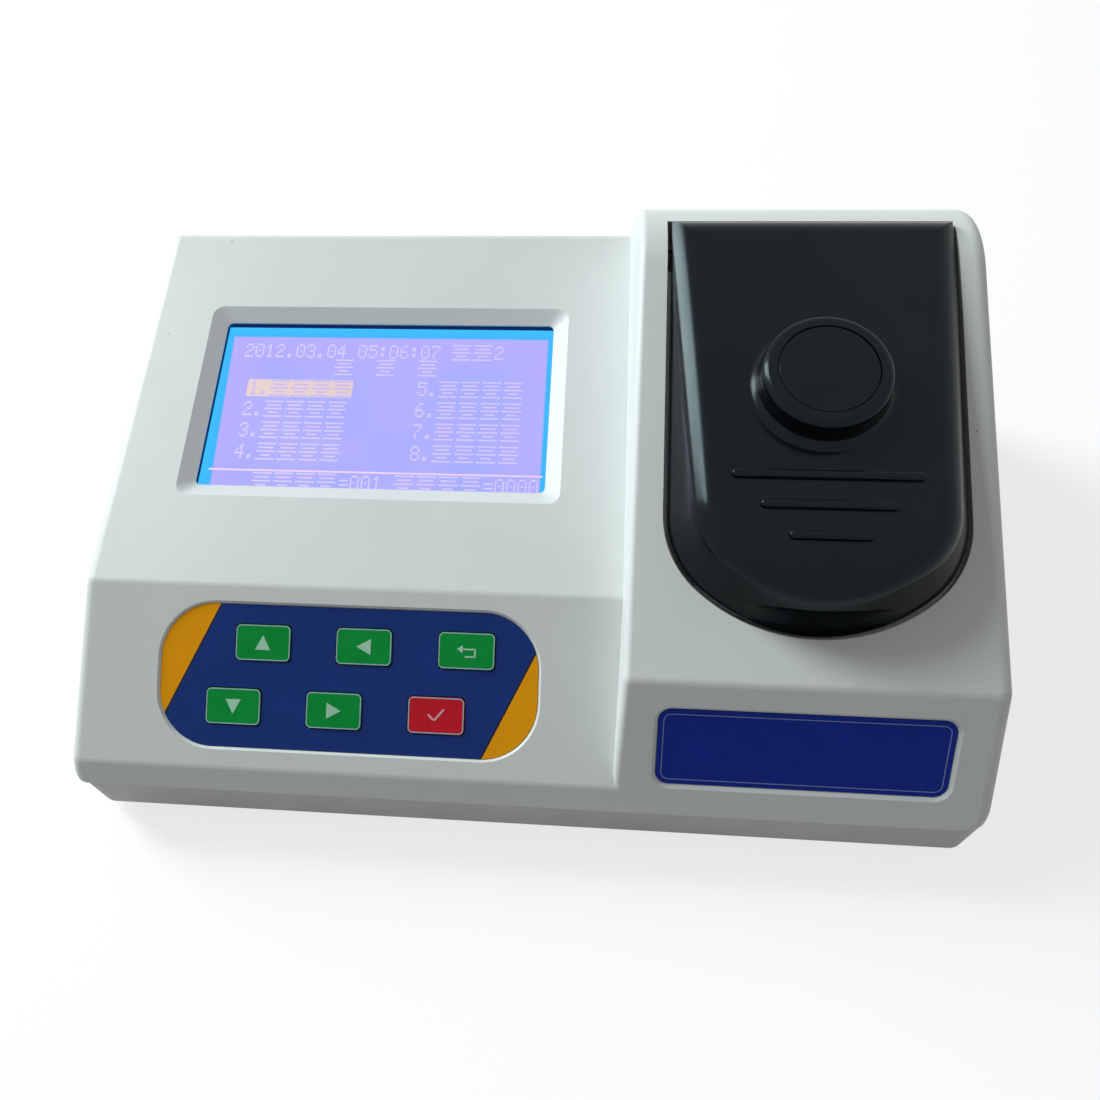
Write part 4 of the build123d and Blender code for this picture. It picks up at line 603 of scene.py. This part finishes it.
def block_tree():
    """Tree that sets one block on every point, with named inputs for the block's sizes and material."""
    tree = bpy.data.node_groups.new("blocks_on_points", "GeometryNodeTree")
    tree.interface.new_socket("Points", in_out="INPUT", socket_type="NodeSocketGeometry")
    for label in BLOCK_SIZES:
        tree.interface.new_socket(label, in_out="INPUT", socket_type="NodeSocketFloat")
    tree.interface.new_socket("Material", in_out="INPUT", socket_type="NodeSocketMaterial")
    tree.interface.new_socket("Result", in_out="OUTPUT", socket_type="NodeSocketGeometry")
    source, result = tree.nodes.new("NodeGroupInput"), tree.nodes.new("NodeGroupOutput")
    size = tree.nodes.new("ShaderNodeCombineXYZ")
    block = tree.nodes.new("GeometryNodeMeshCube")
    copies = tree.nodes.new("GeometryNodeInstanceOnPoints")
    whole = tree.nodes.new("GeometryNodeRealizeInstances")
    dressed = tree.nodes.new("GeometryNodeSetMaterial")
    join = tree.links.new
    for index, label in enumerate(BLOCK_SIZES):
        join(source.outputs[label], size.inputs[index])
    join(size.outputs[0], block.inputs["Size"])
    join(source.outputs["Points"], copies.inputs["Points"])
    join(block.outputs["Mesh"], copies.inputs["Instance"])
    join(copies.outputs["Instances"], whole.inputs["Geometry"])
    join(whole.outputs["Geometry"], dressed.inputs["Geometry"])
    join(source.outputs["Material"], dressed.inputs["Material"])
    join(dressed.outputs["Geometry"], result.inputs["Result"])
    return tree


blocks_on_points = block_tree()


def repeated(name, points, sizes, material, face=Matrix()):
    """One piece of equal blocks on points of a face, each standing on its point."""
    rise = sizes[-1] / 2
    seeds = bpy.data.meshes.new(name)
    seeds.from_pydata([(x, y, z + rise) for x, y, z in points], [], [])
    maker = bpy.data.objects.new(name, seeds)
    scene.collection.objects.link(maker)
    modifier = maker.modifiers.new("repeat", "NODES")
    modifier.node_group = blocks_on_points
    given = dict(zip(BLOCK_SIZES, sizes), Material=materials[material])
    for item in blocks_on_points.interface.items_tree:
        if item.name in given:
            modifier[item.identifier] = given[item.name]
    evaluated = maker.evaluated_get(bpy.context.evaluated_depsgraph_get())
    mesh = bpy.data.meshes.new_from_object(evaluated)
    maker.modifiers.remove(modifier)
    bpy.data.objects.remove(maker)
    mesh.transform(face)
    piece(name, mesh, material)


# Keys: a pale outline round each, sunk into its rounded edge, and a plain mark on it
KEY_WIDTH = 16.9 * MM
KEY_HEIGHT = 10.8 * MM
KEY_CORNER = 1.5 * MM
OUTLINE_WIDTH = 0.32 * MM
OUTLINE_SINK = 0.1 * MM
ARROW_REACH = 2.3 * MM
ARROW_HALF_WIDTH = 1.05 * ARROW_REACH
ARROW_FOOT = -0.95 * ARROW_REACH
BACK_STROKE = 0.5 * MM
TICK_STROKE = 0.6 * MM


def arrow(angle):
    """Mark of one triangle that points up, turned by an angle."""
    turn = Matrix.Rotation(math.radians(angle), 2)
    corners = ((-ARROW_HALF_WIDTH, ARROW_FOOT), (ARROW_HALF_WIDTH, ARROW_FOOT), (0, ARROW_REACH))
    return [[tuple(turn @ Vector(corner)) for corner in corners]]


# An arrowhead on the left, and a line that runs right from it, down and back to the left
back_mark = [
    [(-2.9 * MM, 0.5 * MM), (-1.1 * MM, -0.7 * MM), (-1.1 * MM, 1.7 * MM)],
    bar(0.7 * MM, 0.5 * MM, 3.8 * MM, BACK_STROKE),
    bar(2.6 * MM, -0.5 * MM, BACK_STROKE, 2.5 * MM),
    bar(1.2 * MM, -1.75 * MM, 3.3 * MM, BACK_STROKE),
]
tick_mark = [
    bar(-1.55 * MM, -0.55 * MM, 2.3 * MM, TICK_STROKE, -45),
    bar(0.95 * MM, 0.25 * MM, 4.5 * MM, TICK_STROKE, 50),
]
key_marks = {
    "key_up": arrow(0),
    "key_left": arrow(90),
    "key_down": arrow(180),
    "key_right": arrow(-90),
    "key_return": back_mark,
    "key_confirm": tick_mark,
}
for key, marks in key_marks.items():
    face = face_of(key)
    outline = ring(
        f"{key}_outline", KEY_WIDTH, KEY_HEIGHT, KEY_CORNER, OUTLINE_WIDTH, face,
        lift=-OUTLINE_SINK, thickness=OUTLINE_SINK + PRINT_LIFT,
    )
    piece(f"{key}_outline", outline, "outline_pale", key)
    tone = "mark_red" if key == "key_confirm" else "mark_green"
    piece(f"{key}_mark", plates(f"{key}_mark", marks, face), tone, key)


# Nameplate: bare, with a thin pale line inside its edge
PLATE_LINE_WIDTH = 79.6 * MM
PLATE_LINE_HEIGHT = 21.9 * MM
PLATE_LINE_CORNER = 2.4 * MM
PLATE_LINE_STROKE = 0.3 * MM
plate_line = ring(
    "nameplate_line", PLATE_LINE_WIDTH, PLATE_LINE_HEIGHT, PLATE_LINE_CORNER, PLATE_LINE_STROKE,
    nameplate_face,
)
piece("nameplate_line", plate_line, "plate_line")


# Display picture: dotted digits, each row of dots from the top, and plain blocks of short bars
DIGITS = {
    "0": "01110 10001 10001 10101 10001 10001 01110",
    "1": "00100 01100 00100 00100 00100 00100 01110",
    "2": "01110 10001 00001 00110 01000 10000 11111",
    "3": "01110 10001 00001 00110 00001 10001 01110",
    "4": "00010 00110 01010 10010 11111 00010 00010",
    "5": "11111 10000 11110 00001 00001 10001 01110",
    "6": "00110 01000 10000 11110 10001 10001 01110",
    "7": "11111 00001 00010 00100 01000 01000 01000",
    "8": "01110 10001 10001 01110 10001 10001 01110",
    ".": "00000 00000 00000 00000 00000 01100 01100",
    ":": "00000 01100 01100 00000 01100 01100 00000",
    "=": "00000 00000 11111 00000 11111 00000 00000",
}
BLOCK = "111111111 000000000 011111110 000000000 111111111 000000000 001111100 000000000 111111111"
DOT = 0.56 * MM
DOT_ACROSS = 0.60 * MM
DOT_UP = 0.80 * MM
BLOCK_ACROSS = 0.70 * MM
BLOCK_UP = 0.72 * MM
CELL = 3.62 * MM
ROW_PITCH = 8.2 * MM


def glyph(pattern, x, y, across, up):
    """Dots of one character whose middle left is at x, y."""
    rows = pattern.split()
    top = y + (len(rows) - 1) / 2 * up
    return [
        (x + column * across, top - line * up, 0.0)
        for line, row in enumerate(rows)
        for column, mark in enumerate(row)
        if mark == "1"
    ]


def text_row(text, x, y):
    """Dots of a row of digits, with # for a block two cells wide."""
    dots = []
    for mark in text:
        if mark == "#":
            dots += glyph(BLOCK, x, y, BLOCK_ACROSS, BLOCK_UP)
            x += CELL
        elif mark != " ":
            dots += glyph(DIGITS[mark], x, y, DOT_ACROSS, DOT_UP)
        x += CELL
    return dots


# Places of the rows, from the middle of the picture; the first row of the left list stands on a bar
DATE_LEFT = -49.2 * MM
DATE_ROW = 21.5 * MM
TITLE_LEFT = -16.8 * MM
TITLE_ROW = 15.0 * MM
LEFT_LIST = -46.0 * MM
LEFT_LIST_ROW = 6.3 * MM
RIGHT_LIST = 12.7 * MM
RIGHT_LIST_ROW = 6.75 * MM
STATUS_LEFT = -38.5 * MM
STATUS_ROW = -29.3 * MM
BAR_TEXT_LEFT = -45.2 * MM
BAR_MIDDLE = -28.1 * MM
BAR_WIDTH = 36.4 * MM
BAR_HEIGHT = 6.8 * MM
LINE_MIDDLE = 1.0 * MM
LINE_ROW = -25.4 * MM
LINE_WIDTH = 110.0 * MM
LINE_HEIGHT = 0.6 * MM

screen_rows = text_row("2012.03.04 05:06:07 ##2", DATE_LEFT, DATE_ROW)
screen_rows += text_row("#  #  #", TITLE_LEFT, TITLE_ROW)
for index in range(1, 4):
    screen_rows += text_row(f"{index + 1}.####", LEFT_LIST, LEFT_LIST_ROW - index * ROW_PITCH)
for index in range(4):
    screen_rows += text_row(f"{index + 5}.####", RIGHT_LIST, RIGHT_LIST_ROW - index * ROW_PITCH)
screen_rows += text_row("####=001 ####=0000", STATUS_LEFT, STATUS_ROW)
dot_sizes = (DOT, DOT, PRINT_THICKNESS)
repeated("display_characters", screen_rows, dot_sizes, "text_pale", over(display_face, PRINT_LIFT))

bar_outline = bar(BAR_MIDDLE, LEFT_LIST_ROW, BAR_WIDTH, BAR_HEIGHT)
piece("display_bar", plates("display_bar", [bar_outline], display_face), "bar_tan")
bar_row = text_row("1.####", BAR_TEXT_LEFT, LEFT_LIST_ROW)
repeated("display_bar_characters", bar_row, dot_sizes, "bar_text", over(display_face, 3 * PRINT_LIFT))
line_outline = bar(LINE_MIDDLE, LINE_ROW, LINE_WIDTH, LINE_HEIGHT)
piece("display_line", plates("display_line", [line_outline], display_face), "line_pale")


# Screws: crossed recesses as painted shade, in shares of the head's width, the upright one thicker so that
# it shows whole
RECESS_REACH = 0.62
RECESS_WIDTH = 0.16
UPRIGHT_THICKER = 1.2
FLAT_WITHIN = 0.05 * MM
crossed_screws = (
    "housing_screws", "display_screws", "keypad_screws", "holder_screws",
    "panel_screws", "main_board_screws", "optic_board_screws",
)


def head_of(node, polygons):
    """Middle, direction and width of a screw's head: its largest flat face with nothing in front of it."""
    corners = corners_of(node, polygons)
    outermost = [
        group
        for group in flat_faces(polygons)
        if max(group[0].normal.dot(corner - group[0].center) for corner in corners) < FLAT_WITHIN
    ]
    largest = largest_of(outermost)
    low, high = box_of(corners_of(node, largest))
    return (low + high) / 2, largest[0].normal.copy(), max(high - low)


for node in crossed_screws:
    middles, directions, widths = zip(*(head_of(node, polygons) for polygons in solids_of(node)))
    face = directions[0].to_track_quat("Z", "Y").to_matrix().to_4x4()
    to_face = face.inverted()
    spots = [tuple(to_face @ middle) for middle in middles]
    long, short = RECESS_REACH * widths[0], RECESS_WIDTH * widths[0]
    across = (long, short, PRINT_THICKNESS)
    upright = (short, long, UPRIGHT_THICKER * PRINT_THICKNESS)
    # Dark plates that paint the shade inside each crossed recess
    repeated(f"{node}_recess_across", spots, across, "recess_shade", face)
    repeated(f"{node}_recess_upright", spots, upright, "recess_shade", face)


# Chips: legs along their sides
LEG_WIDTH = 0.4 * MM
LEG_REACH = 1.0 * MM
LEG_RISE = 0.3 * MM
LEG_PITCH = 1.27 * MM


def leg_places(reach):
    """Places of the legs along a side, from its middle, where the side reaches so far each way."""
    count = int((reach - LEG_PITCH / 2) / LEG_PITCH)
    return [step * LEG_PITCH for step in range(-count, count + 1)]


def chip_legs(node, four_sided=False):
    """Legs in front of and behind each chip in a node, and left and right of one with legs all round."""
    front_back, left_right = [], []
    for polygons in solids_of(node):
        low, high = box_of(corners_of(node, polygons))
        middle, reach = (low + high) / 2, (high - low) / 2
        front_back += [
            (middle.x + along, middle.y + side * (reach.y + LEG_REACH / 2), low.z)
            for along in leg_places(reach.x)
            for side in (-1, 1)
        ]
        left_right += [
            (middle.x + side * (reach.x + LEG_REACH / 2), middle.y + along, low.z)
            for along in leg_places(reach.y)
            for side in (-1, 1)
        ]
    repeated(f"{node}_legs", front_back, (LEG_WIDTH, LEG_REACH, LEG_RISE), "plated_metal")
    if four_sided:
        repeated(f"{node}_side_legs", left_right, (LEG_REACH, LEG_WIDTH, LEG_RISE), "plated_metal")


chip_legs("processor", four_sided=True)
chip_legs("memory_chips")


# Rocker: its two flat faces look back and up by these degrees, with a bar on one and a ring on the other.
# The ring's corners are just under half its width, so that none of its points coincide
ON_LOOKS_UP = 1.3
OFF_LOOKS_UP = 21.1
NEARLY_ALONG = 0.995
SWITCH_MARK = 4.2 * MM
BAR_STROKE = 0.7 * MM
RING_STROKE = 0.6 * MM
RING_CORNER = 2.09 * MM


def rocker_face(elevation):
    """Matrix of the rocker's flat face that looks up by an elevation."""
    angle = math.radians(elevation)
    return face_of("power_switch_rocker", BACK * math.cos(angle) + UP * math.sin(angle), NEARLY_ALONG)


on_mark = plates("switch_on_mark", [bar(0, 0, BAR_STROKE, SWITCH_MARK)], rocker_face(ON_LOOKS_UP))
piece("switch_on_mark", on_mark, "mark_white", "power_rocker")
off_face = rocker_face(OFF_LOOKS_UP)
off_mark = ring("switch_off_mark", SWITCH_MARK, SWITCH_MARK, RING_CORNER, RING_STROKE, off_face)
piece("switch_off_mark", off_mark, "mark_white", "power_rocker")


# Camera: the photograph's place, and degrees from looking straight down
CAMERA_PLACE = Vector((0.0232, -0.20149, 0.31565))
CAMERA_TILT = 33.397
CAMERA_ROLL = 3.501
CAMERA_HEADING = 4.533
CAMERA_SENSOR = 36.0
CAMERA_LENS = 33.05
CAMERA_SHIFT_RIGHT = 0.0436
CAMERA_SHIFT_UP = 0.0153
CAMERA_NEAR = 0.01
camera_data = bpy.data.cameras.new("camera")
camera_data.sensor_width = CAMERA_SENSOR
camera_data.lens = CAMERA_LENS
camera_data.shift_x = CAMERA_SHIFT_RIGHT
camera_data.shift_y = CAMERA_SHIFT_UP
camera_data.clip_start = CAMERA_NEAR
camera = bpy.data.objects.new("camera", camera_data)
scene.collection.objects.link(camera)
scene.camera = camera
camera_turn = Euler([math.radians(angle) for angle in (CAMERA_TILT, CAMERA_ROLL, CAMERA_HEADING)])
camera.matrix_world = Matrix.Translation(CAMERA_PLACE) @ camera_turn.to_matrix().to_4x4()

# Light: a window on the left behind the object, and a dim room all round
LIGHT_FROM = Vector((-0.72, 0.41, 0.56)).normalized()
LIGHT_DISTANCE = 2.2
LIGHT_SIZE = (0.66, 1.6)
LIGHT_POWER = 58.0
LIGHT_COLOUR = (0.90, 1.0, 1.0)
ROOM_STRENGTH = 0.265
ROOM_COLOUR = (1.0, 0.98, 0.97)
WHITE = (1.0, 1.0, 1.0)
window_data = bpy.data.lights.new("window", "AREA")
window_data.shape = "RECTANGLE"
window_data.size, window_data.size_y = LIGHT_SIZE
window_data.energy = LIGHT_POWER
window_data.color = LIGHT_COLOUR
window = bpy.data.objects.new("window", window_data)
scene.collection.objects.link(window)
window.location = LIGHT_FROM * LIGHT_DISTANCE
window.rotation_euler = LIGHT_FROM.to_track_quat("Z", "Y").to_euler()
scene.view_settings.view_transform = "Standard"


def seen_directly(nodes, links):
    """One for camera, glossy and transmission rays, so that they all see the white surroundings."""
    path = nodes.new("ShaderNodeLightPath")
    share = path.outputs["Is Camera Ray"]
    for ray in ("Is Glossy Ray", "Is Transmission Ray"):
        either = nodes.new("ShaderNodeMath")
        either.operation = "MAXIMUM"
        links.new(share, either.inputs[0])
        links.new(path.outputs[ray], either.inputs[1])
        share = either.outputs[0]
    return share


def join_by_ray(tree, lighting, seen, kind):
    """Output of a kind, with one shader for the light on the object and one for what is seen directly."""
    mix = tree.nodes.new("ShaderNodeMixShader")
    output = tree.nodes.new(kind)
    tree.links.new(seen_directly(tree.nodes, tree.links), mix.inputs["Fac"])
    tree.links.new(lighting.outputs[0], mix.inputs[1])
    tree.links.new(seen.outputs[0], mix.inputs[2])
    tree.links.new(mix.outputs[0], output.inputs["Surface"])


def room():
    """World: a dim room to light the object, and plain white to look at."""
    world = bpy.data.worlds.new("room")
    scene.world = world
    world.use_nodes = True
    tree = world.node_tree
    tree.nodes.clear()
    dim, white = tree.nodes.new("ShaderNodeBackground"), tree.nodes.new("ShaderNodeBackground")
    dim.inputs["Color"].default_value = (*ROOM_COLOUR, 1)
    dim.inputs["Strength"].default_value = ROOM_STRENGTH
    white.inputs["Color"].default_value = (*WHITE, 1)
    white.inputs["Strength"].default_value = 1.0
    join_by_ray(tree, dim, white, "ShaderNodeOutputWorld")


FLOOR_REACH = 3.0
FLOOR_GREY = (0.45, 0.45, 0.45)
FLOOR_SHADE = (0.30, 0.30, 0.30)
FLOOR_LIFT = 0.74
FLOOR_GAP = 0.1 * MM


def floor():
    """Plain pale floor that the camera sees as white, with the object's shadow on it."""
    shape = bmesh.new()
    bmesh.ops.create_grid(shape, x_segments=1, y_segments=1, size=FLOOR_REACH)
    bmesh.ops.translate(shape, verts=shape.verts, vec=(0, 0, -FLOOR_GAP))
    made = bpy.data.objects.new("floor", finished("floor", shape))
    scene.collection.objects.link(made)
    material = bpy.data.materials.new("floor")
    material.use_nodes = True
    made.data.materials.append(material)
    tree = material.node_tree
    tree.nodes.clear()
    plain, shaded = tree.nodes.new("ShaderNodeBsdfDiffuse"), tree.nodes.new("ShaderNodeBsdfDiffuse")
    plain.inputs["Color"].default_value = (*FLOOR_GREY, 1)
    shaded.inputs["Color"].default_value = (*FLOOR_SHADE, 1)
    lift, whole = tree.nodes.new("ShaderNodeEmission"), tree.nodes.new("ShaderNodeAddShader")
    lift.inputs["Strength"].default_value = FLOOR_LIFT
    tree.links.new(shaded.outputs[0], whole.inputs[0])
    tree.links.new(lift.outputs[0], whole.inputs[1])
    join_by_ray(tree, plain, whole, "ShaderNodeOutputMaterial")


room()
floor()
